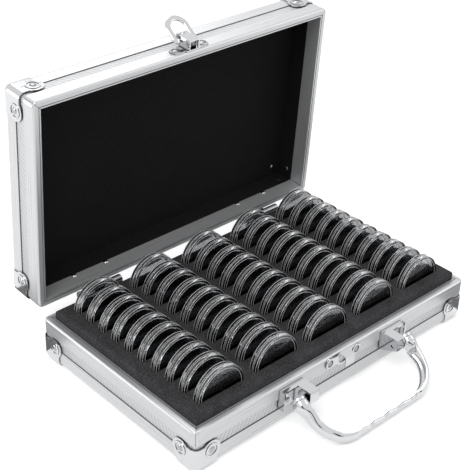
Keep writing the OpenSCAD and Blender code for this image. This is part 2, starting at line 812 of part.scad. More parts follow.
module bracket() {
    difference() {
        union() {
            // plate on the wall
            translate([box_x, -bracket_t, -bracket_h]) cube([bracket_w, bracket_t, bracket_h]);
            // box over the inner end of the pin: top, front and two cheeks
            translate([box_x, -box_depth, -bracket_t]) cube([box_w, box_depth, bracket_t]);
            translate([box_x, -box_depth, -box_front_h]) cube([box_w, bracket_t, box_front_h]);
            for (x = [box_x, box_x + box_w - bracket_t]) translate([x, 0, 0]) rotate([90, 0, 90])
                linear_extrude(bracket_t) polygon([[0, 0], [-box_depth, 0], [-box_depth, -box_front_h],
                    [-bracket_t, -bracket_h], [0, -bracket_h]]);
            // shelf and short cheek over the handle's eye
            translate([box_x, -shelf_depth, -bracket_t]) cube([bracket_w, shelf_depth, bracket_t]);
            translate([box_x + bracket_w - bracket_t, -shelf_depth - 1, -bracket_h])
                cube([bracket_t, shelf_depth + 1, bracket_h]);
        }
        translate([0, -handle_out, -handle_down]) rotate([0, 90, 0]) cylinder(r = handle_pin_r, h = far);
        for (x = [box_x + box_w / 2, knob_x]) translate([x, 0, 5 - bracket_h]) rotate([90, 0, 0])
            cylinder(r = shank_r, h = 20, center = true);
    }
}

module at_brackets() { translate([0, middle_y + front_y, bracket_z]) children(); }

module handle_bracket_right() { color("#e2e3e4") at_brackets() bracket(); }
module handle_bracket_left() { color("#e2e3e4") at_brackets() mirror([1, 0, 0]) bracket(); }
module bracket_rivets() {
    color("#d0d0d0") base_half() on_wall(-1, bracket_points)
        translate([0, 0, -bracket_t]) rivet(bracket_t + skin_t + board_t);
}

// Each pin is headed inside the box and carries the handle's knob.
module handle_pins() {
    inner = box_x + box_w - bracket_t;
    color("#b8b9bb") for (s = [0, 1]) mirror([s, 0, 0]) translate([0, handle_y, handle_z]) rotate([0, 90, 0]) {
        translate([0, 0, inner]) cylinder(r = handle_pin_r, h = knob_x + knob_r - 3 - inner);
        translate([0, 0, inner - 1]) cylinder(r = handle_pin_r + 1, h = 1);
    }
}

// The bail. It is drawn hanging straight down from its axis, then raised until its grip lies on the
// surface. One section runs down each arm, round each corner and along the grip, and the side view
// narrows it towards the grip. The arms and corners are hollow on the inside, and the grip is solid.
module handle() {
    color("#dcdddf") translate([0, handle_y, handle_z]) rotate([handle_droop - 90, 0, 0]) difference() {
        union() {
            seen_from_side(0) for (s = [0, 1]) mirror([s, 0, 0]) {
                difference() {
                    arm_path() bar_outline(handle_t, arm_w);
                    seen_from_side(handle_wall) arm_path() translate([-handle_wall, 0])
                        bar_outline(handle_t, arm_w - 2 * handle_wall);
                }
                grip_path() bar_outline(handle_t, arm_w);
            }
            for (s = [-1, 1]) translate([s * knob_x, 0, 0]) knob();
        }
        for (s = [0, 1]) mirror([s, 0, 0]) translate([knob_x - knob_r - 1, 0, 0]) rotate([0, 90, 0])
            cylinder(r = handle_pin_r + pin_clear, h = 2 * knob_r - 1.5);
        finger_hollows();
    }
}

// Keeps what lies inside the side view, or inside the side view made smaller all round.
module seen_from_side(inset) {
    intersection() {
        union() children();
        rotate([90, 0, 90]) translate([0, 0, -far / 2]) linear_extrude(far) handle_side_view(inset);
    }
}

// The bar's section: x runs from the inner face to the outer face, and the outer edges are round.
module bar_outline(t, w) {
    translate([0, t - w / 2]) square([t, w - 2 * t]);
    intersection() {
        for (s = [-1, 1]) translate([0, s * (w / 2 - t)]) circle(t);
        translate([0, -w / 2]) square([t, w]);
    }
}

// Carries a section down the arm and round the corner.
module arm_path() {
    straight = handle_reach - handle_corner_r;
    corner_x = handle_half_w - handle_corner_r;
    inner_r = handle_corner_r - handle_t;
    translate([handle_half_w - handle_t, 0, -straight]) linear_extrude(straight) children();
    translate([corner_x, 0, -straight]) rotate([90, 0, 0]) mirror([0, 1, 0])
        rotate_extrude(angle = 90) translate([inner_r, 0]) children();
}

// Carries a section from the corner to the middle of the grip.
module grip_path() {
    translate([0, 0, handle_t - handle_reach]) rotate([0, 90, 0])
        linear_extrude(handle_half_w - handle_corner_r) children();
}

// A round knob whose flat end has a raised lip.
module knob() {
    lip = 1;
    difference() {
        union() {
            translate([0, 0, -knob_r / 2]) cylinder(r = knob_r, h = knob_top + knob_r / 2);
            translate([0, 0, -knob_r / 2]) sphere(knob_r);
        }
        translate([0, 0, knob_top - 0.5]) cylinder(r = knob_r - lip, h = 1);
    }
}

module finger_hollows() {
    depth = 0.9;
    for (i = [0 : fingers - 1])
        translate([(i - (fingers - 1) / 2) * finger_pitch, 0, finger_r + handle_t - depth - handle_reach])
            rotate([90, 0, 0]) cylinder(r = finger_r, h = 2 * arm_w, center = true);
}

// Arms of full width, narrowing to a grip with round edges.
module handle_side_view(inset) {
    arm = arm_w / 2 - inset;
    grip = grip_w / 2 - inset;
    waist = -handle_reach / 2;
    round_z = handle_t - handle_reach;
    polygon([[-arm, 0], [arm, 0], [arm, waist / 2], [grip, waist], [grip, round_z],
        [-grip, round_z], [-grip, waist], [-arm, waist / 2]]);
    translate([-grip_side, inset - handle_reach]) square([2 * grip_side, handle_t]);
    for (s = [-1, 1]) translate([s * grip_side, round_z]) circle(handle_t - inset);
}

// ---- Lid ----

module lid_part() {
    in_open_lid() lid_half() difference() {
        children();
        lid_bores();
    }
}

module lid_top_panel() { color("#c9cacc") lid_part() deck(lid_h); }
module lid_front_panel() { color("#c9cacc") lid_part() wall_panel(0, lid_h); }
module lid_right_panel() { color("#c9cacc") lid_part() wall_panel(1, lid_h); }
module lid_back_panel() { color("#c9cacc") lid_part() wall_panel(2, lid_h); }
module lid_left_panel() { color("#c9cacc") lid_part() wall_panel(3, lid_h); }
module lid_rim() { color("#d8d9da") lid_part() rim_frame(); }
module lid_edge_trims() { color("#d8d9da") lid_part() edge_trims(lid_h); }
module lid_corner_caps() { color("#e2e3e4") in_open_lid() lid_half() at_corners(lid_h) corner_cap(false); }
module lid_cap_rivets() { color("#d0d0d0") in_open_lid() lid_half() at_corners(lid_h) cap_rivets(false, 0.8); }

module lid_lining_top() {
    in = skin_t + board_t;
    color("#151515") lid_part() translate([in - case_w / 2, in - case_d / 2, lid_h - deck_zone - lining_t])
        cube([case_w - 2 * in, case_d - 2 * in, lining_t]);
}

module lid_lining_walls() {
    top = lid_h - deck_zone - lining_t;
    color("#151515") lid_part() for (side = [0 : 3]) at_side(side) mitred_side(side_len(side))
        translate([skin_t + board_t, rim_inner_leg]) square([lining_t, top - rim_inner_leg]);
}

module hinge_lid_rivets() {
    color("#d0d0d0") in_open_lid() lid_half() on_wall(1, leaf_points)
        translate([0, 0, -leaf_t]) rivet(leaf_t + rim_w, 1.2);
}

// ---- Pieces ----

base_bottom_panel();
base_front_panel();
base_back_panel();
base_left_panel();
base_right_panel();
base_rim();
base_edge_trims();
base_corner_caps();
base_cap_rivets();
foam_insert();
catch_plate();
catch_rivets();
handle_bracket_left();
handle_bracket_right();
bracket_rivets();
handle_pins();
hinge_base_leaves();
hinge_pins();
hinge_base_rivets();
lid_top_panel();
lid_front_panel();
lid_back_panel();
lid_left_panel();
lid_right_panel();
lid_rim();
lid_edge_trims();
lid_corner_caps();
lid_cap_rivets();
lid_lining_top();
lid_lining_walls();
hinge_lid_leaves();
hinge_lid_rivets();
latch_plate();
latch_rivets();
lever_pin();
latch_lever();
latch_loop();
handle();
for (c = [1 : 5]) {
    capsule_fronts(c);
    capsule_backs(c);
    loose_capsule_front(c);
    loose_capsule_back(c);
}
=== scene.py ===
# %% [markdown]
# # A coin display case
# This file dresses the case's fixed CAD frame for a studio picture. The metal parts keep their CAD
# shape and get a real finish. The foam, the cloth lining, the capsules and the handle are made
# anew, because their look depends on soft edges and fine relief that a CAD solid leaves out.

# %% Load the frame
import math

import bpy
import numpy as np
from mathutils import Matrix, Vector


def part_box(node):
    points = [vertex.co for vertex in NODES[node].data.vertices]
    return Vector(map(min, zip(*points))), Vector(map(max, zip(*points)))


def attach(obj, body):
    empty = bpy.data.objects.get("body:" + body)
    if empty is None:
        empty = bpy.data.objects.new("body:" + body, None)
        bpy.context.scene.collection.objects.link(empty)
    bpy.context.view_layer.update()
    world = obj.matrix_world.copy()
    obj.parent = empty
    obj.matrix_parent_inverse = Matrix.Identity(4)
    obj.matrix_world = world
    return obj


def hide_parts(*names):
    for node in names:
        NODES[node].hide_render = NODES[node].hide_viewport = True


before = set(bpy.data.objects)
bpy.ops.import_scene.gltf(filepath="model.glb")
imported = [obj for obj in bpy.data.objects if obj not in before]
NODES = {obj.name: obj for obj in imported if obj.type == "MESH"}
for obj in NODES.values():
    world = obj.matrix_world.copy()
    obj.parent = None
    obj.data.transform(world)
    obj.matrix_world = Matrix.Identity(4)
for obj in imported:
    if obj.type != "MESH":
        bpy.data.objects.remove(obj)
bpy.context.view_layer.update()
MM = 0.001

# %% [markdown]
# ## Where things are
# The case stands a little back from the origin, and its lid is turned back by 87 degrees. Pieces
# and patterns of the lid are worked out as if it were shut, where they are square to the axes, and
# are then turned about the hinge. Places are read from the frame's own boxes where they can be, so
# that the new pieces fit the CAD ones.

# %% The case, the hinge and the turn of the lid
def middle_of(node):
    """The middle (x, y, z) of a node's box."""
    return [(low + high) / 2 for low, high in zip(*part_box(node))]


rim_low, rim_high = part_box("base_rim")
MIDDLE_Y = middle_of("base_rim")[1]
RIM_Z = rim_high.z
CASE_W, CASE_D = rim_high.x - rim_low.x, rim_high.y - rim_low.y
HINGE_Y, HINGE_Z = middle_of("hinge_pins")[1:]
LID_OPEN = math.radians(87)
LID_GAP = 0.3 * MM
LID_Z = RIM_Z + LID_GAP


def in_open_lid(points):
    """Turns points of the shut lid about the hinge, by 87 degrees about X."""
    points = np.asarray(points, float)
    y, z = points[..., 1] - HINGE_Y, points[..., 2] - HINGE_Z
    return np.stack([points[..., 0],
                     HINGE_Y + y * math.cos(LID_OPEN) + z * math.sin(LID_OPEN),
                     HINGE_Z - y * math.sin(LID_OPEN) + z * math.cos(LID_OPEN)], -1)


print("case", round(CASE_W / MM, 1), "x", round(CASE_D / MM, 1), "mm, hinge at", HINGE_Y, HINGE_Z)

# %% [markdown]
# ## Camera
# The case is seen from its front left corner and from above, with a long lens, so that its edges
# stay nearly parallel. The camera's turn is written as azimuth, elevation and roll, which are the
# angles that a photographer sets on a tripod head.

# %% The camera
CAMERA_AT = (-591.3 * MM, -578.5 * MM + MIDDLE_Y, 613.8 * MM)
AZIMUTH, ELEVATION, ROLL = (math.radians(a) for a in (-43.952, 31.761, 2.194))
LENS, SENSOR = 89.23, 36.0

back = Vector((math.sin(AZIMUTH) * math.cos(ELEVATION), -math.cos(AZIMUTH) * math.cos(ELEVATION),
               math.sin(ELEVATION)))
level = Vector((math.cos(AZIMUTH), math.sin(AZIMUTH), 0))
upright = back.cross(level)
right = math.cos(ROLL) * level + math.sin(ROLL) * upright
up = -math.sin(ROLL) * level + math.cos(ROLL) * upright

camera = bpy.data.objects.new("camera", bpy.data.cameras.new("camera"))
camera.data.lens = LENS
camera.data.sensor_width = SENSOR
camera.data.clip_end = 20
turn_of_camera = Matrix((right, up, back)).transposed().to_4x4()
camera.matrix_world = Matrix.Translation(CAMERA_AT) @ turn_of_camera
bpy.context.scene.collection.objects.link(camera)
bpy.context.scene.camera = camera
bpy.context.scene.view_settings.view_transform = "Standard"
print("camera at", CAMERA_AT)

# %% [markdown]
# ## Helpers for materials
# Colours are written as sRGB hex values, the way a paint chart gives them, and one function turns
# them to the linear values that Blender's shaders use. Each of the others adds one kind of node,
# sets its inputs and joins its links in one line, so a finish reads as a short list of what it is
# made from.

# %% Colour and node helpers
def linear(hex_colour):
    """sRGB to linear: x/12.92 below 0.04045, otherwise ((x + 0.055) / 1.055) ** 2.4."""
    srgb = np.array([int(hex_colour[i:i + 2], 16) for i in (1, 3, 5)]) / 255
    return [*np.where(srgb <= 0.04045, srgb / 12.92, ((srgb + 0.055) / 1.055) ** 2.4).tolist(), 1]


def add(tree, kind, inputs=None, **settings):
    """One node: settings are its properties, and inputs maps sockets to values or other sockets."""
    node = tree.nodes.new(kind)
    for name, value in settings.items():
        setattr(node, name, value)
    for name, value in (inputs or {}).items():
        if isinstance(value, bpy.types.NodeSocket):
            tree.links.new(value, node.inputs[name])
        else:
            node.inputs[name].default_value = value
    return node


def new_material(name, colour, **sockets):
    """A Principled material, its tree and its shader. Socket names take _ for a space."""
    material = bpy.data.materials.new(name)
    material.use_nodes = True
    shader = material.node_tree.nodes["Principled BSDF"]
    shader.inputs["Base Color"].default_value = linear(colour)
    material.diffuse_color = linear(colour)
    for socket, value in sockets.items():
        shader.inputs[socket.replace("_", " ")].default_value = value
    return material, material.node_tree, shader


def join(tree, shader, **sockets):
    """Links sockets of other nodes to the shader's inputs, whose names take _ for a space."""
    for name, source in sockets.items():
        tree.links.new(source, shader.inputs[name.replace("_", " ")])


# %% Sums, waves and noise
def maths(tree, operation, a, b=0.0, c=0.0):
    """One sum: a and b (and c) are numbers or sockets."""
    return add(tree, "ShaderNodeMath", {0: a, 1: b, 2: c}, operation=operation).outputs[0]


def remap(tree, value, low, high, to_low=0.0, to_high=1.0):
    """The value moved from low..high to to_low..to_high in proportion, and held at those ends."""
    return add(tree, "ShaderNodeMapRange", {"Value": value, "From Min": low, "From Max": high,
                                            "To Min": to_low, "To Max": to_high}).outputs["Result"]


def sine_wave(tree, along, period):
    """sin(2 pi along / period)."""
    return maths(tree, "SINE", maths(tree, "MULTIPLY", along, 2 * math.pi / period))


def on_object(tree):
    """The surface point in the object's own metres."""
    return add(tree, "ShaderNodeTexCoord").outputs["Object"]


def noise(tree, place, scale, detail):
    """Soft noise from 0 to 1, with about scale lumps for each unit of place."""
    inputs = {"Vector": place, "Scale": scale, "Detail": detail}
    return add(tree, "ShaderNodeTexNoise", inputs).outputs["Fac"]


def distance_along(tree, axis, start=0.0):
    """How far the surface point lies along an axis of the case, beyond the start."""
    inputs = {0: on_object(tree), 1: axis}
    reach = add(tree, "ShaderNodeVectorMath", inputs, operation="DOT_PRODUCT").outputs["Value"]
    return maths(tree, "SUBTRACT", reach, start)


def between(tree, value, low, high):
    """1 where the value lies between low and high, otherwise 0."""
    return maths(tree, "MULTIPLY", maths(tree, "GREATER_THAN", value, low),
                 maths(tree, "LESS_THAN", value, high))


# %% Mixing and relief
def blend_numbers(tree, amount, first, second):
    """The first number where the amount is 0 and the second where it is 1."""
    inputs = {0: amount, 2: first, 3: second}
    return add(tree, "ShaderNodeMix", inputs, data_type="FLOAT").outputs[0]


def blend_colours(tree, amount, first, second):
    """The first colour where the amount is 0 and the second where it is 1."""
    inputs = {0: amount, 6: first, 7: second}
    return add(tree, "ShaderNodeMix", inputs, data_type="RGBA").outputs[2]


def relief(tree, height, strength, depth):
    """The normal of a surface that rises by depth, in metres, where the height is 1."""
    inputs = {"Height": height, "Strength": strength, "Distance": depth}
    return add(tree, "ShaderNodeBump", inputs).outputs["Normal"]


def painted_gap_shade(tree, colour, reach):
    """The colour, darkened where other surfaces stand close: painted shade in gaps, drawn with
    ambient occlusion.
    """
    openness = add(tree, "ShaderNodeAmbientOcclusion", {"Distance": reach}, samples=8).outputs["AO"]
    return blend_colours(tree, remap(tree, openness, 0.25, 0.85), linear("#3C3D3E"), colour)


def dress(material, *names):
    """Puts a material on CAD nodes, in place of the plain one that they were packed with."""
    for name in names:
        NODES[name].data.materials.clear()
        NODES[name].data.materials.append(material)
    print(material.name, "on", len(names), "nodes")


# %% Directions of the two halves, for patterns that follow them
X_AXIS, Y_AXIS, DOWN = (1.0, 0.0, 0.0), (0.0, 1.0, 0.0), (0.0, 0.0, -1.0)
LID_Y_AXIS = (0.0, math.cos(LID_OPEN), -math.sin(LID_OPEN))
LID_Z_AXIS = (0.0, math.sin(LID_OPEN), math.cos(LID_OPEN))
LID_MIDDLE = tuple(in_open_lid([0.0, MIDDLE_Y, LID_Z]))


def reach_of(point, axis):
    """The point's distance along the axis: the sum of the products of their parts."""
    return sum(a * b for a, b in zip(axis, point))


BASE = {"depth": (Y_AXIS, MIDDLE_Y), "height": (DOWN, -RIM_Z)}
LID = {"depth": (LID_Y_AXIS, reach_of(LID_MIDDLE, LID_Y_AXIS)),
       "height": (LID_Z_AXIS, reach_of(LID_MIDDLE, LID_Z_AXIS))}
print("patterns start", BASE, LID)

# %% [markdown]
# ## Anodised aluminium
# The rims and the edge trims are extruded aluminium, drawn along their length and clear anodised.
# Anodising leaves a pale, even, slightly milky metal with soft reflections. The drawing marks are
# very long and fine. They could come from a stretched picture, but noise that is stretched about a
# hundred times along each length needs no map. The four lengths of a frame meet in mitres, and a
# thin dark line shows where they do.

# %% Anodised aluminium
MARKS_ALONG, MARKS_ACROSS = 14.0, 1500.0
MITRE_HALF = 0.22 * MM


def anodised(name, half):
    """Satin aluminium. The nearer pair of sides decides which way the drawing marks run.

    The lead is (|x| - W/2) - (|y| - D/2). It is above 0 on the end walls, below 0 on the long ones
    and 0 in a mitre.
    """
    material, tree, shader = new_material(name, "#CDCED0", Metallic=0.6, Roughness=0.33)
    width = distance_along(tree, X_AXIS)
    depth = distance_along(tree, *half["depth"])
    height = distance_along(tree, *half["height"])
    lead = maths(tree, "SUBTRACT",
                 maths(tree, "SUBTRACT", maths(tree, "ABSOLUTE", width), CASE_W / 2),
                 maths(tree, "SUBTRACT", maths(tree, "ABSOLUTE", depth), CASE_D / 2))
    end_wall = maths(tree, "GREATER_THAN", lead, 0.0)
    run = blend_numbers(tree, end_wall, width, depth)
    across = blend_numbers(tree, end_wall, depth, width)
    stretched = {"X": maths(tree, "MULTIPLY", run, MARKS_ALONG),
                 "Y": maths(tree, "MULTIPLY", across, MARKS_ACROSS),
                 "Z": maths(tree, "MULTIPLY", height, MARKS_ACROSS)}
    marks = noise(tree, add(tree, "ShaderNodeCombineXYZ", stretched).outputs["Vector"], 1.0, 3.0)
    metal = blend_colours(tree, remap(tree, marks, 0.3, 0.7), linear("#C7C8CA"), linear("#D5D6D7"))
    mitre = between(tree, lead, -MITRE_HALF, MITRE_HALF)
    marked = blend_colours(tree, mitre, metal, linear("#3A3B3C"))
    # Painted shade: the colour is darkened where other parts stand close.
    join(tree, shader, Base_Color=painted_gap_shade(tree, marked, 1.2 * MM),
         Roughness=remap(tree, marks, 0.3, 0.7, 0.27, 0.39),
         Normal=relief(tree, marks, 0.10, 0.1 * MM))
    return material


dress(anodised("anodised_aluminium_base", BASE), "base_rim", "base_edge_trims")
dress(anodised("anodised_aluminium_lid", LID), "lid_rim", "lid_edge_trims")

# %% [markdown]
# ## Embossed silver boards
# The walls are fibreboard faced with silver foil. The foil is embossed with slanted ribs, which
# turn their slant from one narrow band to the next, so the wall glitters in bands. Modelling the
# ribs would take millions of faces, so sine waves give their relief, and their colour carries a
# painted glitter: lighter on the rib crests and in the bands of one slant. The ribs of the real
# foil are under half a millimetre wide, and they are drawn three times as coarse so that they
# show. A thin line of painted shadow lies where the foil meets the edge trim.

# %% Embossed silver foil
RIB_PITCH, BAND = 1.4 * MM, 4.4 * MM


def foil(tree, along, across):
    """(colour, normal) of ribs that rise, sin(2 pi (s + t) / pitch), or fall, with s - t instead.

    Here s is along and t is across. The slower wave sin(2 pi (s + t / 2) / band) picks the slant.
    """
    rising, falling = (sine_wave(tree, maths(tree, sign, along, across), RIB_PITCH)
                       for sign in ("ADD", "SUBTRACT"))
    wave = sine_wave(tree, maths(tree, "MULTIPLY_ADD", across, 0.5, along), BAND)
    ribs = blend_numbers(tree, remap(tree, wave, -0.25, 0.25), rising, falling)
    # Painted glitter: the colour is lighter on the rib crests and in the bands of one slant.
    shade = remap(tree, maths(tree, "MULTIPLY_ADD", ribs, 0.6, wave), -1.4, 1.4)
    colour = blend_colours(tree, shade, linear("#B9BABC"), linear("#D8D9DA"))
    return colour, relief(tree, ribs, 0.6, 0.15 * MM)


# %% The eight walls
TRIM_LEG, EDGE_LINE = 15.0 * MM, 0.75 * MM
BASE_H, LID_H = 38.5 * MM, 39.0 * MM


def embossed(name, half, run, half_height):
    """Foil on one wall: run is the (axis, start) along it.

    A thin line of painted shadow lies above the edge trim's leg, where the foil meets it.
    """
    material, tree, shader = new_material(name, "#CDCED0", Metallic=0.7, Roughness=0.40)
    height = distance_along(tree, *half["height"])
    face, normal = foil(tree, distance_along(tree, *run), height)
    # Painted shadow: a thin dark line without metal shine where the foil meets the edge trim.
    shadow_line = maths(tree, "GREATER_THAN", height, half_height - TRIM_LEG - EDGE_LINE)
    lined = blend_colours(tree, shadow_line, face, linear("#2A2A2B"))
    # Painted shade: the colour is darkened where other parts stand close.
    join(tree, shader, Base_Color=painted_gap_shade(tree, lined, 2.0 * MM), Normal=normal,
         Metallic=maths(tree, "MULTIPLY", maths(tree, "SUBTRACT", 1.0, shadow_line), 0.8))
    return material


for half_name, half, half_height in (("base", BASE, BASE_H), ("lid", LID, LID_H)):
    dress(embossed(f"embossed_silver_foil_{half_name}_long", half, (X_AXIS, 0.0), half_height),
          f"{half_name}_front_panel", f"{half_name}_back_panel")
    dress(embossed(f"embossed_silver_foil_{half_name}_end", half, half["depth"], half_height),
          f"{half_name}_left_panel", f"{half_name}_right_panel")

# %% The two large boards
def embossed_board(name, half):
    """The same foil on a flat board, where both directions of the pattern lie in the board."""
    material, tree, shader = new_material(name, "#CDCED0", Metallic=0.7, Roughness=0.40)
    face, normal = foil(tree, distance_along(tree, X_AXIS), distance_along(tree, *half["depth"]))
    join(tree, shader, Base_Color=face, Normal=normal)
    return material


dress(embossed_board("embossed_silver_foil_bottom", BASE), "base_bottom_panel")
dress(embossed_board("embossed_silver_foil_top", LID), "lid_top_panel")

# %% [markdown]
# ## Chrome and zinc plate
# The ball corners, the latch, the brackets and the handle are steel and zinc parts with bright
# chrome plate. Chrome is nearly a mirror. Its plating is never quite flat, which a faint, wide
# noise gives. Where parts meet, painted shade from ambient occlusion darkens its colour. The
# rivets, hinges and pins are bright zinc, which is greyer and duller.

# %% Chrome plate and zinc plate
def plated(name, colour, roughness, ripple):
    """Plate over metal: a mirror of the given roughness, with a faint ripple in the plate."""
    material, tree, shader = new_material(name, colour, Metallic=1.0, Roughness=roughness)
    wave = noise(tree, on_object(tree), 140.0, 2.0)
    # Painted shade: the colour is darkened where other parts stand close.
    join(tree, shader, Base_Color=painted_gap_shade(tree, linear(colour), 3.0 * MM),
         Roughness=remap(tree, wave, 0.3, 0.7, roughness * 0.8, roughness * 1.25),
         Normal=relief(tree, wave, ripple, 0.4 * MM))
    return material


chrome = plated("bright_chrome_plate", "#CFD0D2", 0.08, 0.10)
zinc = plated("bright_zinc_plate", "#A9AAAC", 0.20, 0.12)
dress(chrome, "base_corner_caps", "lid_corner_caps", "catch_plate", "latch_plate", "latch_lever",
      "latch_loop", "handle_bracket_left", "handle_bracket_right")
dress(zinc, "base_cap_rivets", "lid_cap_rivets", "catch_rivets", "latch_rivets", "bracket_rivets",
      "handle_pins", "lever_pin", "hinge_base_leaves", "hinge_lid_leaves", "hinge_pins",
      "hinge_base_rivets", "hinge_lid_rivets")

# %% [markdown]
# ## New pieces
# A new piece is an array of points and an array of faces. Most of them are a grid: two parameters
# run over a sheet, and a formula gives the point. A closed sheet is two such grids, back to back,
# with their four edges joined. A turned piece is a tube whose two ends close in fans.

# %% Meshes from arrays
def volume_inside(mesh):
    """A sixth of a . (b x c), summed over the triangles: above 0 where the faces point outwards."""
    mesh.calc_loop_triangles()
    corners = np.empty(len(mesh.loop_triangles) * 3, int)
    mesh.loop_triangles.foreach_get("vertices", corners)
    points = np.empty(len(mesh.vertices) * 3)
    mesh.vertices.foreach_get("co", points)
    a, b, c = points.reshape(-1, 3)[corners.reshape(-1, 3)].transpose(1, 0, 2)
    return float((a * np.cross(b, c)).sum() / 6)


def mesh_piece(name, points, faces, material, smooth_below=40):
    """An object at the origin from arrays, smooth where its faces meet at a shallow angle."""
    mesh = bpy.data.meshes.new(name)
    mesh.from_pydata(np.asarray(points, float), [], faces)
    mesh.materials.append(material)
    mesh.shade_smooth()
    mesh.set_sharp_from_angle(angle=math.radians(smooth_below))
    mesh.validate()
    piece = bpy.data.objects.new(name, mesh)
    bpy.context.scene.collection.objects.link(piece)
    print(name, len(mesh.polygons), "faces,", round(volume_inside(mesh) * 1e6, 2), "cm3")
    return piece


def lay_map(piece, name, pairs):
    """Stores a pair of metres for each point as a UV map, for patterns that follow the surface."""
    mesh = piece.data
    corners = np.empty(len(mesh.loops), int)
    mesh.loops.foreach_get("vertex_index", corners)
    uv = pairs[corners].ravel().astype(np.float32)
    mesh.uv_layers.new(name=name).data.foreach_set("uv", uv)


# %% Faces between numbered points
def grid_faces(rows, columns, start=0, wrap_rows=False, wrap_columns=False):
    """Quads between the points of a grid. Point (i, j) has the number start + i * columns + j."""
    i, j = np.meshgrid(np.arange(rows if wrap_rows else rows - 1),
                       np.arange(columns if wrap_columns else columns - 1), indexing="ij")
    i2, j2 = (i + 1) % rows, (j + 1) % columns
    corners = [i * columns + j, i2 * columns + j, i2 * columns + j2, i * columns + j2]
    return (start + np.stack(corners, -1)).reshape(-1, 4)


def grid_edge(rows, columns):
    """The numbers of a grid's outermost points, once round."""
    numbers = np.arange(rows * columns).reshape(rows, columns)
    return np.concatenate([numbers[0, :-1], numbers[:-1, -1],
                           numbers[-1, :0:-1], numbers[:0:-1, 0]])


def end_fans(rows, columns):
    """Triangles that close a tube of rows of points at two tips, numbered after the rows."""
    j = np.arange(columns)
    k = (j + 1) % columns
    tip, last = rows * columns, (rows - 1) * columns
    return np.concatenate([np.stack([np.full(columns, tip), j, k], -1),
                           np.stack([np.full(columns, tip + 1), last + k, last + j], -1)])


def closed_sheet(front, behind):
    """Joins two grids of the same size, front facing outwards, into one closed shell."""
    rows, columns = front.shape[:2]
    count = rows * columns
    edge = grid_edge(rows, columns)
    after = np.roll(edge, -1)
    rim = np.stack([edge, after, after + count, edge + count], -1)
    far_side = grid_faces(rows, columns, count)[:, ::-1]
    faces = np.concatenate([grid_faces(rows, columns), far_side, rim])
    return np.concatenate([front.reshape(-1, 3), behind.reshape(-1, 3)]), faces.tolist()


# %% [markdown]
# ## Black twill lining
# The lid is lined with black twill glued to card. Twill has slanted ribs, because each thread
# passes over two and under two and steps sideways by one. The real ribs are about a millimetre
# apart, and they are drawn 2.4 mm apart so that they show. Glued cloth can't fall or fold, so a
# cloth simulation would have nothing to do. The cloth is a grid with a slight swell, since it is
# never quite flat, and one band of it runs round the four walls.

# %% Black twill
TWILL_PITCH = 2.4 * MM


def twill():
    """Ribs across the cloth's own two directions, which are kept in its UV map in metres.

    sin(2 pi (u + 0.75 v) / pitch), with 0.45 of sin(2 pi (v - u) / pitch) for the threads' steps.
    """
    material, tree, shader = new_material("black_twill", "#101011", Roughness=0.8)
    shader.inputs["Specular IOR Level"].default_value = 0.1
    shader.inputs["Sheen Weight"].default_value = 0.03
    uv = add(tree, "ShaderNodeUVMap").outputs["UV"]
    u, v = add(tree, "ShaderNodeSeparateXYZ", {"Vector": uv}).outputs[:2]
    ribs = sine_wave(tree, maths(tree, "MULTIPLY_ADD", v, 0.75, u), TWILL_PITCH)
    steps = sine_wave(tree, maths(tree, "SUBTRACT", v, u), TWILL_PITCH)
    weave = maths(tree, "MULTIPLY_ADD", steps, 0.45, ribs)
    worn = noise(tree, on_object(tree), 14.0, 3.0)
    shade = remap(tree, maths(tree, "MULTIPLY_ADD", worn, 1.2, weave), -1.0, 2.2)
    join(tree, shader, Base_Color=blend_colours(tree, shade, linear("#080809"), linear("#171718")),
         Normal=relief(tree, weave, 0.5, 0.3 * MM))
    return material


black_twill = twill()

# %% The lining of the top
LINING_T, LINING_IN = 0.8 * MM, 5.8 * MM
TOP_BOARD_T = 4.8 * MM
TOP_UNDERSIDE = LID_Z + LID_H - TOP_BOARD_T
HALF_LINING_W, HALF_LINING_D = CASE_W / 2 - LINING_IN, CASE_D / 2 - LINING_IN
CLOTH_GAP, SWELL, TURNED_IN, FADE_IN = 0.12 * MM, 0.1 * MM, 0.25 * MM, 12 * MM


def top_cloth():
    """z = the card's face less the cloth's thickness, with a swell of 0.1 mm from two sines.

    Their waves are about 0.1 m long. The swell falls to nothing at the edges, where the cloth is
    turned over its card.
    """
    x, y = np.meshgrid(np.linspace(-HALF_LINING_W, HALF_LINING_W, 121),
                       np.linspace(-HALF_LINING_D, HALF_LINING_D, 73), indexing="ij")
    inset = np.minimum(HALF_LINING_W - np.abs(x), HALF_LINING_D - np.abs(y))
    fade = np.clip(inset / FADE_IN, 0, 1)
    swell = SWELL * fade * (np.sin(x * 70 + 1.0) * np.sin(y * 55) + 0.5 * np.sin(x * 31 - y * 83))
    turned_edge = TURNED_IN * (1 - np.clip(inset / (1.0 * MM), 0, 1)) ** 2
    low = TOP_UNDERSIDE - LINING_T + CLOTH_GAP + swell + turned_edge
    face = np.stack([x, y + MIDDLE_Y, low], -1)
    card = np.stack([x, y + MIDDLE_Y, np.full_like(x, TOP_UNDERSIDE)], -1)
    points, faces = closed_sheet(face[:, ::-1], card[:, ::-1])
    flat = np.stack([x[:, ::-1].ravel(), y[:, ::-1].ravel()], -1)
    piece = mesh_piece("lid_top_cloth", in_open_lid(points), faces, black_twill)
    lay_map(piece, "cloth", np.concatenate([flat, flat]))
    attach(piece, "lid")
    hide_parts("lid_lining_top")


top_cloth()

# %% Outlines for the lining of the walls
def rounded_outline(inset, r):
    """(x, y) round the lining: a quarter circle of radius r at each corner, and straight lines."""
    turn = np.linspace(0, np.pi / 2, 7)
    signs = ((1, 1), (-1, 1), (-1, -1), (1, -1))
    return np.concatenate([np.stack([
        sx * (HALF_LINING_W - inset - r) + r * np.cos(turn + k * np.pi / 2),
        sy * (HALF_LINING_D - inset - r) + r * np.sin(turn + k * np.pi / 2)], -1)
        for k, (sx, sy) in enumerate(signs)])


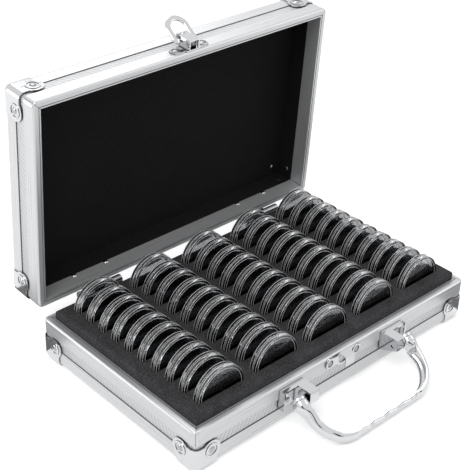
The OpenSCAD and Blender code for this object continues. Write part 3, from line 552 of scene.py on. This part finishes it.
def finer(path, steps=24, longest=20 * MM):
    """The closed path with each length over 20 mm cut into 24 equal steps."""
    part = np.arange(steps)[:, None] / steps
    following = np.roll(path, -1, axis=0)
    long = np.linalg.norm(following - path, axis=1) > longest
    return np.concatenate([a + (b - a) * part if is_long else a[None]
                           for a, b, is_long in zip(path, following, long)])


# %% The lining of the walls
RIM_INNER_LEG = 15.0 * MM


def wall_cloth():
    """A band round the outline: (perimeter, height), closed at its two rims."""
    outer = finer(rounded_outline(0.0, 1.2 * MM))
    inner = finer(rounded_outline(LINING_T - 0.1 * MM, 0.4 * MM))
    low, high = LID_Z + RIM_INNER_LEG, TOP_UNDERSIDE - LINING_T
    levels = [(outer, low), (outer, high), (inner, high), (inner, (low + high) / 2), (inner, low)]
    rings = np.stack([np.concatenate([path, np.full((len(path), 1), z)], -1) for path, z in levels])
    rings[..., 1] += MIDDLE_Y
    count = rings.shape[1]
    faces = grid_faces(len(levels), count, wrap_rows=True, wrap_columns=True)[:, ::-1]
    run = np.concatenate([[0], np.cumsum(np.linalg.norm(np.diff(inner, axis=0), axis=1))])
    cloth_uv = np.concatenate([np.stack([run, np.full(count, z)], -1) for _, z in levels])
    points = in_open_lid(rings.reshape(-1, 3))
    piece = mesh_piece("lid_wall_cloth", points, faces.tolist(), black_twill)
    lay_map(piece, "cloth", cloth_uv)
    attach(piece, "lid")
    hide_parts("lid_lining_walls")


wall_cloth()

# %% [markdown]
# ## Grey sponge
# The insert is cut from a block of dark grey polyurethane foam. A cut face of foam is all open
# cells, which scatter light so well that it has no shine. The cells are too small to model one by
# one, so a Voronoi pattern gives their colour and relief. Real ones are about half a millimetre
# across, and they are drawn 1.1 mm across so that they show as a fine grain. The blade leaves each
# slot's mouth a little rounded, which is why the block is one grid with extra lines along each
# slot.

# %% Open-celled foam
CELLS_PER_METRE = 900.0


def sponge():
    """Cells from a Voronoi pattern, with broader soft stains from noise."""
    material, tree, shader = new_material("grey_polyurethane_foam", "#454546", Roughness=0.95)
    shader.inputs["Specular IOR Level"].default_value = 0.1
    place = on_object(tree)
    voronoi = add(tree, "ShaderNodeTexVoronoi", {"Vector": place, "Scale": CELLS_PER_METRE})
    cells = voronoi.outputs["Distance"]
    stain = noise(tree, place, 70.0, 4.0)
    grain = remap(tree, maths(tree, "MULTIPLY_ADD", stain, 0.7, cells), 0.35, 1.2)
    join(tree, shader, Base_Color=blend_colours(tree, grain, linear("#232324"), linear("#4E4E50")),
         Normal=relief(tree, cells, 0.9, 0.6 * MM))
    return material


foam_material = sponge()

# %% Where the capsules stand
CAPSULE_R, CAPSULE_T = 23.0 * MM, 7.2 * MM
COLUMNS, ROWS = 5, 10
PITCH_X, PITCH_Y = 58.5 * MM, 16.7 * MM
CAPSULE_Z = middle_of("loose_capsule_front_3")[2]
COLUMN_X = (np.arange(1, COLUMNS + 1) - (COLUMNS + 1) / 2) * PITCH_X
ROW_Y = ((ROWS + 1) / 2 - np.arange(1, ROWS + 1)) * PITCH_Y + MIDDLE_Y
print("capsule axis height", round(CAPSULE_Z / MM, 2), "mm")

# %% Grid lines of the foam block
EDGE_ROUND, LIP, SLOT_GAP = 3.0 * MM, 0.4 * MM, 0.1 * MM
SLOT_R, SLOT_HALF = CAPSULE_R + SLOT_GAP, CAPSULE_T / 2 + SLOT_GAP
PLAIN_STEP, KEPT_CLEAR = 2.9 * MM, 0.6 * MM


def foam_lines(start, end, centres, half, inner):
    """Places of grid lines in one direction: close at the round edges and the lips, else wide.

    A slot reaches half on each side of its centre, and inner lists the lines that it has inside.
    """
    near = np.array([LIP, 0.7 * LIP, 0.4 * LIP, 0.15 * LIP, 0.0, -0.02 * MM])
    mouths = [centre + side * (half + near) for centre in centres for side in (-1, 1)]
    insides = [centre + np.asarray(inner) for centre in centres]
    turn = EDGE_ROUND * (1 - np.cos(np.linspace(0, np.pi / 2, 7)))
    plain = np.arange(start + EDGE_ROUND + 2 * MM, end - EDGE_ROUND - 1 * MM, PLAIN_STEP)
    distance = np.abs(plain[:, None] - np.asarray(centres)[None]).min(1)
    taken = distance < half + LIP + KEPT_CLEAR
    every = np.concatenate([start + turn, end - turn, plain[~taken], *mouths, *insides])
    return np.unique(np.round(every, 7))


# %% The foam block
def foam_surface(low, high):
    """z(x, y) = top - the largest of three drops: round edge, slot lip, slot.

    A slot's lip drops by r - sqrt(r^2 - (r - s)^2) at the distance s outside its mouth. Inside the
    mouth the slot goes down to the circle of the capsule: top - z = top - axis + sqrt(R^2 - dx^2).
    """
    x, y = np.meshgrid(
        foam_lines(low.x, high.x, COLUMN_X, SLOT_R, np.linspace(-0.985, 0.985, 17) * SLOT_R),
        foam_lines(low.y, high.y, ROW_Y, SLOT_HALF, [0.0]), indexing="ij")
    inset = np.minimum(np.minimum(x - low.x, high.x - x), np.minimum(y - low.y, high.y - y))
    inset = np.clip(inset, 0, EDGE_ROUND)
    drop = EDGE_ROUND - np.sqrt(EDGE_ROUND ** 2 - (EDGE_ROUND - inset) ** 2)
    dx = np.abs(x[..., None] - COLUMN_X).min(-1)
    dy = np.abs(y[..., None] - ROW_Y).min(-1)
    outside = np.clip(np.maximum(dx - SLOT_R, dy - SLOT_HALF), 0, LIP)
    drop = np.maximum(drop, LIP - np.sqrt(LIP ** 2 - (LIP - outside) ** 2))
    in_slot = (dx < SLOT_R - 0.01 * MM) & (dy < SLOT_HALF - 0.01 * MM)
    deep = high.z - CAPSULE_Z + np.sqrt(np.clip(SLOT_R ** 2 - dx ** 2, 0, None))
    drop = np.where(in_slot, np.maximum(drop, deep), drop)
    return np.stack([x, y, high.z - drop], -1)


def foam_block():
    """The surface above, with straight sides down from its edge and one flat face below."""
    low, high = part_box("foam_insert")
    surface = foam_surface(low, high)
    rows, columns = surface.shape[:2]
    edge = grid_edge(rows, columns)
    skirt = surface.reshape(-1, 3)[edge].copy()
    skirt[:, 2] = low.z
    foot = rows * columns + np.arange(len(edge))
    sides = np.stack([edge, np.roll(edge, -1), np.roll(foot, -1), foot], -1)
    points = np.concatenate([surface.reshape(-1, 3), skirt])
    faces = grid_faces(rows, columns).tolist() + sides.tolist() + [foot.tolist()]
    piece = mesh_piece("foam_block", points, faces, foam_material, 55)
    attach(piece, "base")
    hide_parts("foam_insert")


foam_block()

# %% [markdown]
# ## Clear capsules
# A coin capsule is two moulded polystyrene shells that snap together. Its window is thin, and its
# rim is a thick ring with fine ridges all the way round, which a thumb can grip. Each shell is one
# section turned about the capsule's axis. A half see-through surface would render faster, but it
# looks milky, so the plastic bends light as the real one does. Each ridge is a thin ring laid on
# the shell in near white, a painted highlight for the light that its crest catches. Clear plastic
# and mirrors don't show the rings a second time, which keeps the lines clean.

# %% Clear polystyrene
def polystyrene(name, tint, clearness, low, high):
    """Plastic whose roughness varies from low, where it is clean, to high, where it is scuffed."""
    material, tree, shader = new_material(name, tint, Roughness=low, IOR=1.59)
    shader.inputs["Transmission Weight"].default_value = clearness
    haze = noise(tree, on_object(tree), 60.0, 2.0)
    join(tree, shader, Roughness=remap(tree, haze, 0.4, 0.75, low, high))
    return material


clear = polystyrene("clear_polystyrene", "#C6C7C9", 1.0, 0.03, 0.08)
# Near-white rings on the ridges: a painted highlight.
ridge_highlight = polystyrene("ridge_highlight_polystyrene", "#E8E9EA", 0.0, 0.20, 0.40)

# %% The section of a shell
HALF_T = CAPSULE_T / 2
BORDER, COIN_R = 2.7 * MM, 19.8 * MM
RIM_R = CAPSULE_R - 0.2 * MM
BORDER_R = CAPSULE_R - BORDER


def shell_section():
    """(radius, distance from the parting plane), out over the window, down the rim, back inside."""
    window, inner = HALF_T - 1.2 * MM, HALF_T - 2.1 * MM
    raised, sunk = HALF_T - 0.1 * MM, HALF_T - 0.28 * MM
    window_step = [(0.0, window), (BORDER_R - 0.9 * MM, window),
                   (BORDER_R - 0.3 * MM, window + 0.12 * MM),
                   (BORDER_R - 0.05 * MM, HALF_T - 0.3 * MM)]
    border_groove = [(BORDER_R + 0.25 * MM, raised), (BORDER_R + 1.0 * MM, raised),
                     (BORDER_R + 1.15 * MM, sunk), (BORDER_R + 1.45 * MM, sunk),
                     (BORDER_R + 1.6 * MM, raised)]
    rim = [(RIM_R - 0.4 * MM, raised), (RIM_R - 0.12 * MM, HALF_T - 0.2 * MM),
           (RIM_R, HALF_T - 0.45 * MM), (RIM_R, 0.45 * MM), (RIM_R - 0.35 * MM, 0.05 * MM)]
    inside = [(COIN_R, 0.05 * MM), (COIN_R, inner - 0.3 * MM),
              (COIN_R - 0.3 * MM, inner), (0.0, inner)]
    return np.array(window_step + border_groove + rim + inside)


def turned_shells(centres, turns, facing):
    """The section turned about Y at each centre: x = r cos a, z = r sin a, y = facing * d.

    The first and last points of the section lie on the axis, so each is one pole, closed by a fan.
    """
    section = shell_section()
    poles, belt = section[[0, -1]], section[1:-1]
    angle = np.arange(turns) * 2 * np.pi / turns
    r, d = belt[:, 0][:, None], belt[:, 1][:, None]
    ring = np.stack([r * np.cos(angle), np.broadcast_to(facing * d, (len(belt), turns)),
                     r * np.sin(angle)], -1)
    tips = np.stack([np.zeros(2), facing * poles[:, 1], np.zeros(2)], -1)
    one = np.concatenate([ring.reshape(-1, 3), tips])
    quads, fans = grid_faces(len(belt), turns, wrap_columns=True), end_fans(len(belt), turns)
    if facing > 0:
        quads, fans = quads[:, ::-1], fans[:, ::-1]
    centres = np.asarray(centres, float)
    shift = (np.arange(len(centres)) * len(one))[:, None, None]
    faces = [(kind[None] + shift).reshape(-1, kind.shape[1]).tolist() for kind in (quads, fans)]
    return (one[None] + centres[:, None]).reshape(-1, 3), faces[0] + faces[1]


# %% The ridges
RIDGE_R, RIDGE_SIDES = 0.13 * MM, 5
RIDGES_AT = np.array([3.1, 0.62]) * MM
WINDOW_RIDGE_R, WINDOW_RIDGE_AT = BORDER_R + 0.3 * MM, HALF_T - 0.1 * MM


def ridge_rings(centres, turns):
    """Thin rings about Y: r + c cos u from the axis and d + c sin u along it.

    Here c is the radius of the ring's own section, a pentagon. Four rings lie on the rim, two on
    each half, and one lies round each window.
    """
    places = [(RIM_R, side * d) for side in (-1, 1) for d in RIDGES_AT]
    places += [(WINDOW_RIDGE_R, side * WINDOW_RIDGE_AT) for side in (-1, 1)]
    u = np.arange(RIDGE_SIDES) * 2 * np.pi / RIDGE_SIDES
    angle = np.arange(turns) * 2 * np.pi / turns
    r, d = np.array(places).T[:, :, None, None]
    r, d = r + RIDGE_R * np.cos(u)[None, :, None], d + RIDGE_R * np.sin(u)[None, :, None]
    ring = np.stack([r * np.cos(angle), np.broadcast_to(d, (len(places), RIDGE_SIDES, turns)),
                     r * np.sin(angle)], -1)
    quads = grid_faces(RIDGE_SIDES, turns, wrap_rows=True, wrap_columns=True)
    points = (ring.reshape(1, -1, 3) + np.asarray(centres, float)[:, None]).reshape(-1, 3)
    shift = (np.arange(len(places) * len(centres)) * RIDGE_SIDES * turns)[:, None, None]
    return points, (quads[None] + shift).reshape(-1, 4).tolist()


# %% Fifty capsules
def stand(name, surface, material, body, *nodes):
    """A piece of capsules that rides on a body and stands for the CAD nodes named, if any."""
    piece = mesh_piece(name, *surface, material)
    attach(piece, body)
    if nodes:
        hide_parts(*nodes)
    return piece


def stand_ridges(name, centres, turns, body):
    """Ridges that show directly, but not a second time in mirrors or through clear plastic."""
    # The rings carry the painted highlight of the ridges.
    rings = stand(name, ridge_rings(centres, turns), ridge_highlight, body)
    rings.visible_transmission = rings.visible_glossy = False


TURNS, FRONT_TURNS = 72, 96
for column, x in enumerate(COLUMN_X, start=1):
    behind = [(x, y, CAPSULE_Z) for y in ROW_Y[:-1]]
    front = [(x, ROW_Y[-1], CAPSULE_Z)]
    for side, facing in (("front", -1.0), ("back", 1.0)):
        stand(f"column_{column}_{side}_shells", turned_shells(behind, TURNS, facing), clear, "base",
              f"capsule_{side}s_column_{column}")
        stand(f"loose_{column}_{side}_shell", turned_shells(front, FRONT_TURNS, facing), clear,
              f"capsule_{column}", f"loose_capsule_{side}_{column}")
    stand_ridges(f"column_{column}_ridges", behind, TURNS, "base")
    stand_ridges(f"loose_{column}_ridges", front, FRONT_TURNS, f"capsule_{column}")

# %% [markdown]
# ## The handle
# The handle is a zinc casting with bright chrome plate. Each arm starts as a round knob, opens into
# a channel with round edges, and narrows into a grip with finger waves. A curve object with a bevel
# would keep one section all along. So the handle is lofted: one closed section is carried along the
# bail and changes slowly from a circle into a channel and then into a solid bar.

# %% The bail's sizes
HANDLE_Y, HANDLE_Z = middle_of("handle_pins")[1:]
DROOP = math.radians(31.607)
HALF_W, REACH, CORNER_R, BAR_T = 66.8 * MM, 47.5 * MM, 30.0 * MM, 5.6 * MM
ARM_HALF, GRIP_HALF, WALL = 7.5 * MM, 6.0 * MM, 1.4 * MM
KNOB_R, KNOB_IN, ARM_STARTS = 6.8 * MM, 2.8 * MM, 4.2 * MM
ARM_STEPS, TURN_STEPS, GRIP_STEPS = 22, 40, 46
KNOB_PROFILE = np.array([
    (-2.70, 0.02), (-2.68, 2.2), (-2.60, 4.1), (-2.45, 5.15), (-2.40, 5.35), (-2.85, 5.55),
    (-2.98, 5.85), (-2.95, 6.25), (-2.70, 6.62), (-2.2, 6.78), (-0.9, 6.8), (-0.45, 6.7),
    (-0.25, 6.42), (0.10, 6.42), (0.30, 6.7), (0.7, 6.8), (1.6, 6.8), (2.6, 6.8), (3.4, 6.8)]) * MM
print("handle axis", round(HANDLE_Y / MM, 2), round(HANDLE_Z / MM, 2), "mm")


# %% The path, from one knob to the middle of the grip
def half_path():
    """Points (x, w) of the outer face in the bail's plane, and the directions that lead inwards.

    They run down the arm at x = half width, round a quarter circle, and along the grip at
    w = reach. The knob's profile gives w and the radius at each step through the knob.
    """
    straight, middle_x = REACH - CORNER_R, HALF_W - CORNER_R
    knob_w, knob_r = KNOB_PROFILE.T
    arm_w = np.linspace(ARM_STARTS, straight, ARM_STEPS)[:-1]
    turn = np.linspace(0, np.pi / 2, TURN_STEPS)
    grip_x = np.linspace(middle_x, 0, GRIP_STEPS)[1:]
    down = len(knob_w) + len(arm_w)
    x = np.concatenate([np.full(down, HALF_W), middle_x + CORNER_R * np.cos(turn), grip_x])
    w = np.concatenate([knob_w, arm_w, straight + CORNER_R * np.sin(turn),
                        np.full(len(grip_x), REACH)])
    inward = np.concatenate([np.tile([-1.0, 0.0], (down, 1)),
                             -np.stack([np.cos(turn), np.sin(turn)], -1),
                             np.tile([0.0, -1.0], (len(grip_x), 1))])
    knob = np.concatenate([knob_r, np.full(len(x) - len(knob_r), KNOB_R)])
    return x, w, inward, knob


def smooth_step(value, low, high):
    """0 below low, 1 above high, and 3t^2 - 2t^3 between them."""
    t = np.clip((value - low) / (high - low), 0, 1)
    return t * t * (3 - 2 * t)


# %% The section at each point of the path
SECTION_POINTS = 30
ARM_NARROWS = np.array([11.9, 23.75]) * MM
CHANNEL_OPENS, HOLLOW_OPENS = (3.2 * MM, 13 * MM), (8 * MM, 15 * MM)
GRIP_STARTS, GRIP_FULL, GRIP_FILLED = 4 * MM, 8 * MM, 0.86
FINGER_PITCH, WAVE_IN, WAVE_OUT = 17 * MM, 0.9 * MM, 0.5 * MM
CREASE, CREASE_AT, CREASE_WIDTH = 0.35 * MM, 1.02, 0.07


def bail_sections(x, w, knob):
    """(a, n) for 2N points: a is the depth in from the outer face and n is across the bail.

    The channel: a = T (1 - cos t), n = +-((W - R) + R sin |t|) outside, and the same curve 1.4 mm
    inside it for the hollow, pulled flat to a = T by 1 - h where the bar is solid. The circle about
    a = 2.8 mm has the knob's radius. The two are mixed by how far the point is from the knob. Along
    the grip, finger waves of 17 mm thin the bar, and R drops in a crease at |t| = 1.02.
    """
    count = SECTION_POINTS
    t = np.concatenate([np.linspace(-np.pi / 2, 0, count // 2),
                        np.linspace(0, np.pi / 2, count // 2)])
    side = np.concatenate([-np.ones(count // 2), np.ones(count // 2)])
    w, x, knob = w[:, None], x[:, None], knob[:, None]
    half = np.interp(w, ARM_NARROWS, [ARM_HALF, GRIP_HALF])
    grip_end = HALF_W - CORNER_R
    on_grip = smooth_step(-np.abs(x), -(grip_end + GRIP_STARTS), -(grip_end - GRIP_FULL))
    finger = 0.5 + 0.5 * np.cos((np.abs(x) - FINGER_PITCH / 2) * 2 * np.pi / FINGER_PITCH)
    wave_in = WAVE_IN * finger * on_grip
    wave_out = WAVE_OUT * (1 - finger) * on_grip
    hollow = smooth_step(w, *HOLLOW_OPENS) * (1 - GRIP_FILLED * on_grip)
    r = BAR_T - CREASE * on_grip * np.exp(-((np.abs(t) - CREASE_AT) / CREASE_WIDTH) ** 2)
    outer_a = BAR_T - r * np.cos(t)
    outer_n = side * ((half - BAR_T) + r * np.sin(np.abs(t)))
    inner_r = BAR_T - WALL
    inner_a = BAR_T - hollow * inner_r * np.cos(t[::-1])
    inner_n = side[::-1] * ((half - BAR_T) + inner_r * np.sin(np.abs(t[::-1])))
    a = np.concatenate([np.broadcast_to(outer_a, (len(x), count)), inner_a], 1)
    n = np.concatenate([outer_n, np.broadcast_to(inner_n, (len(x), count))], 1)
    a = a * ((BAR_T - wave_in - wave_out) / BAR_T) + wave_out
    angle = -np.pi / 2 + (np.arange(2 * count) + 0.5) * np.pi / count
    round_a, round_n = KNOB_IN - knob * np.cos(angle), knob * np.sin(angle)
    open_up = smooth_step(w, *CHANNEL_OPENS)
    return round_a + (a - round_a) * open_up, round_n + (n - round_n) * open_up


# %% The handle
def bail():
    """Each section point goes to path + inward * a in the bail's plane, and n along its normal."""
    x, w, inward, knob = half_path()
    a, n = bail_sections(x, w, knob)
    px, pw = x[:, None] + inward[:, :1] * a, w[:, None] + inward[:, 1:] * a
    half = np.stack([px, n, -pw], -1)
    other = half[:-1][::-1] * np.array([-1.0, 1.0, 1.0])
    points = np.concatenate([half, other])
    turn = DROOP - math.pi / 2
    across, up = points[..., 1].copy(), points[..., 2].copy()
    points[..., 1] = HANDLE_Y + across * math.cos(turn) - up * math.sin(turn)
    points[..., 2] = HANDLE_Z + across * math.sin(turn) + up * math.cos(turn)
    rows, columns = points.shape[:2]
    poles = np.stack([points[0].mean(0), points[-1].mean(0)])
    faces = grid_faces(rows, columns, wrap_columns=True).tolist() + end_fans(rows, columns).tolist()
    all_points = np.concatenate([points.reshape(-1, 3), poles])
    piece = mesh_piece("bail_handle", all_points, faces, chrome, 38)
    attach(piece, "handle")
    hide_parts("handle")
    print("bail lowest point", round(points[..., 2].min() / MM, 2), "mm")


bail()

# %% [markdown]
# ## Floor, light and background
# A pale, plain floor and soft lamps, as in a product studio. The floor is white where the camera, a
# mirror or glass sees it, and it keeps the case's soft shadow. Bright metal is white all over in
# such a room, so photographers stand black cards out of sight: chrome shows them as thin dark
# lines, which draw its shape. Two grey cards on the table do the same for the caps at its ends.
# Here the cards can be seen by reflections only.

# %% The floor
FLOOR, FLOOR_Z = 6.0, -0.2 * MM
PAPER_GLOW = 0.40


def flat_panel(name, corners, material):
    """A single quad that belongs to the stage and not to the case."""
    mesh = bpy.data.meshes.new(name)
    mesh.from_pydata([tuple(corner) for corner in corners], [], [(0, 1, 2, 3)])
    mesh.materials.append(material)
    panel = bpy.data.objects.new(name, mesh)
    bpy.context.scene.collection.objects.link(panel)
    return panel


def seen_directly(tree):
    """1 for rays from the camera and for what mirrors and glass show of the room, otherwise 0."""
    path = add(tree, "ShaderNodeLightPath")
    seen = maths(tree, "MAXIMUM", path.outputs["Is Camera Ray"], path.outputs["Is Glossy Ray"])
    return maths(tree, "MAXIMUM", seen, path.outputs["Is Transmission Ray"])


def level_panel(name, x_from, x_to, y_from, y_to, z, material):
    """A level panel between two x and two y, at the height z."""
    corners = [(x_from, y_from, z), (x_to, y_from, z), (x_to, y_to, z), (x_from, y_to, z)]
    return flat_panel(name, corners, material)


paper, paper_tree, paper_shader = new_material("white_paper", "#F0F0F0", Roughness=0.9)
paper_shader.inputs["Specular IOR Level"].default_value = 0.0
paper_shader.inputs["Emission Color"].default_value = (1, 1, 1, 1)
glow = maths(paper_tree, "MULTIPLY", seen_directly(paper_tree), PAPER_GLOW)
join(paper_tree, paper_shader, Emission_Strength=glow)
level_panel("floor", -FLOOR, FLOOR, -FLOOR, FLOOR, FLOOR_Z, paper)
print("floor", 2 * FLOOR, "m wide")

# %% Black and grey cards
CARD_Z = 1.0 * MM
black_card = new_material("black_card", "#0A0A0A", Roughness=0.9)[0]
grey_card = new_material("grey_card", "#7C7C7C", Roughness=0.9)[0]


def only_reflected(card):
    """Hides a card from everything but reflections."""
    card.visible_camera = card.visible_diffuse = False
    card.visible_shadow = card.visible_transmission = False
    print(card.name, "is seen in reflections only")


def stand_card(name, azimuth, distance, width, low, high):
    """An upright card that faces the case. Its azimuth is in degrees to the right of the front."""
    a = math.radians(azimuth)
    out, side = Vector((math.sin(a), -math.cos(a), 0)), Vector((math.cos(a), math.sin(a), 0))
    left, right = out * distance - side * width / 2, out * distance + side * width / 2
    foot, head = Vector((0, 0, low)), Vector((0, 0, high))
    corners = [left + foot, right + foot, right + head, left + head]
    only_reflected(flat_panel(name, corners, black_card))


stand_card("card_by_camera", -50, 1.6, 0.35, 0.45, 1.5)
stand_card("card_right", 40, 1.5, 0.15, 0.0, 0.5)
stand_card("card_left", -95, 1.5, 0.3, 0.0, 0.3)
stand_card("card_front", -5, 1.6, 0.3, 0.1, 0.9)
only_reflected(level_panel("card_on_table_right", 0.165, 0.32, -0.18, 0.05, CARD_Z, grey_card))
only_reflected(level_panel("card_on_table_behind", -0.215, -0.05, 0.105, 0.20, CARD_Z, grey_card))

# %% Lamps
AIM_AT = Vector((0, 0, 0.08))


def soft_box(name, at, size, watts):
    """A square area lamp that faces the middle of the case."""
    lamp = bpy.data.lights.new(name, "AREA")
    lamp.shape = "SQUARE"
    lamp.size = size
    lamp.energy = watts
    lamp_object = bpy.data.objects.new(name, lamp)
    turn = (AIM_AT - Vector(at)).to_track_quat("-Z", "Y").to_matrix().to_4x4()
    lamp_object.matrix_world = Matrix.Translation(at) @ turn
    bpy.context.scene.collection.objects.link(lamp_object)
    print(name, watts, "W")


soft_box("key", (-1.0, -0.4, 1.6), 0.9, 12)
soft_box("rear", (0.6, 1.2, 1.5), 0.9, 8)
soft_box("fill", (1.3, -1.0, 0.9), 1.0, 4)
soft_box("low_left", (-1.15, 0.92, 0.28), 0.5, 3)

# %% The world
SKY_LIGHT = 0.55
world = bpy.data.worlds.new("studio")
bpy.context.scene.world = world
world.use_nodes = True
sky = world.node_tree
sky.nodes.clear()
soft_light = add(sky, "ShaderNodeBackground", {"Color": (1, 1, 1, 1), "Strength": SKY_LIGHT})
white = add(sky, "ShaderNodeBackground", {"Color": (1, 1, 1, 1), "Strength": 1.0})
shown = add(sky, "ShaderNodeMixShader", {0: seen_directly(sky), 1: soft_light.outputs[0],
                                         2: white.outputs[0]})
add(sky, "ShaderNodeOutputWorld", {"Surface": shown.outputs[0]})
print("sky light", SKY_LIGHT)
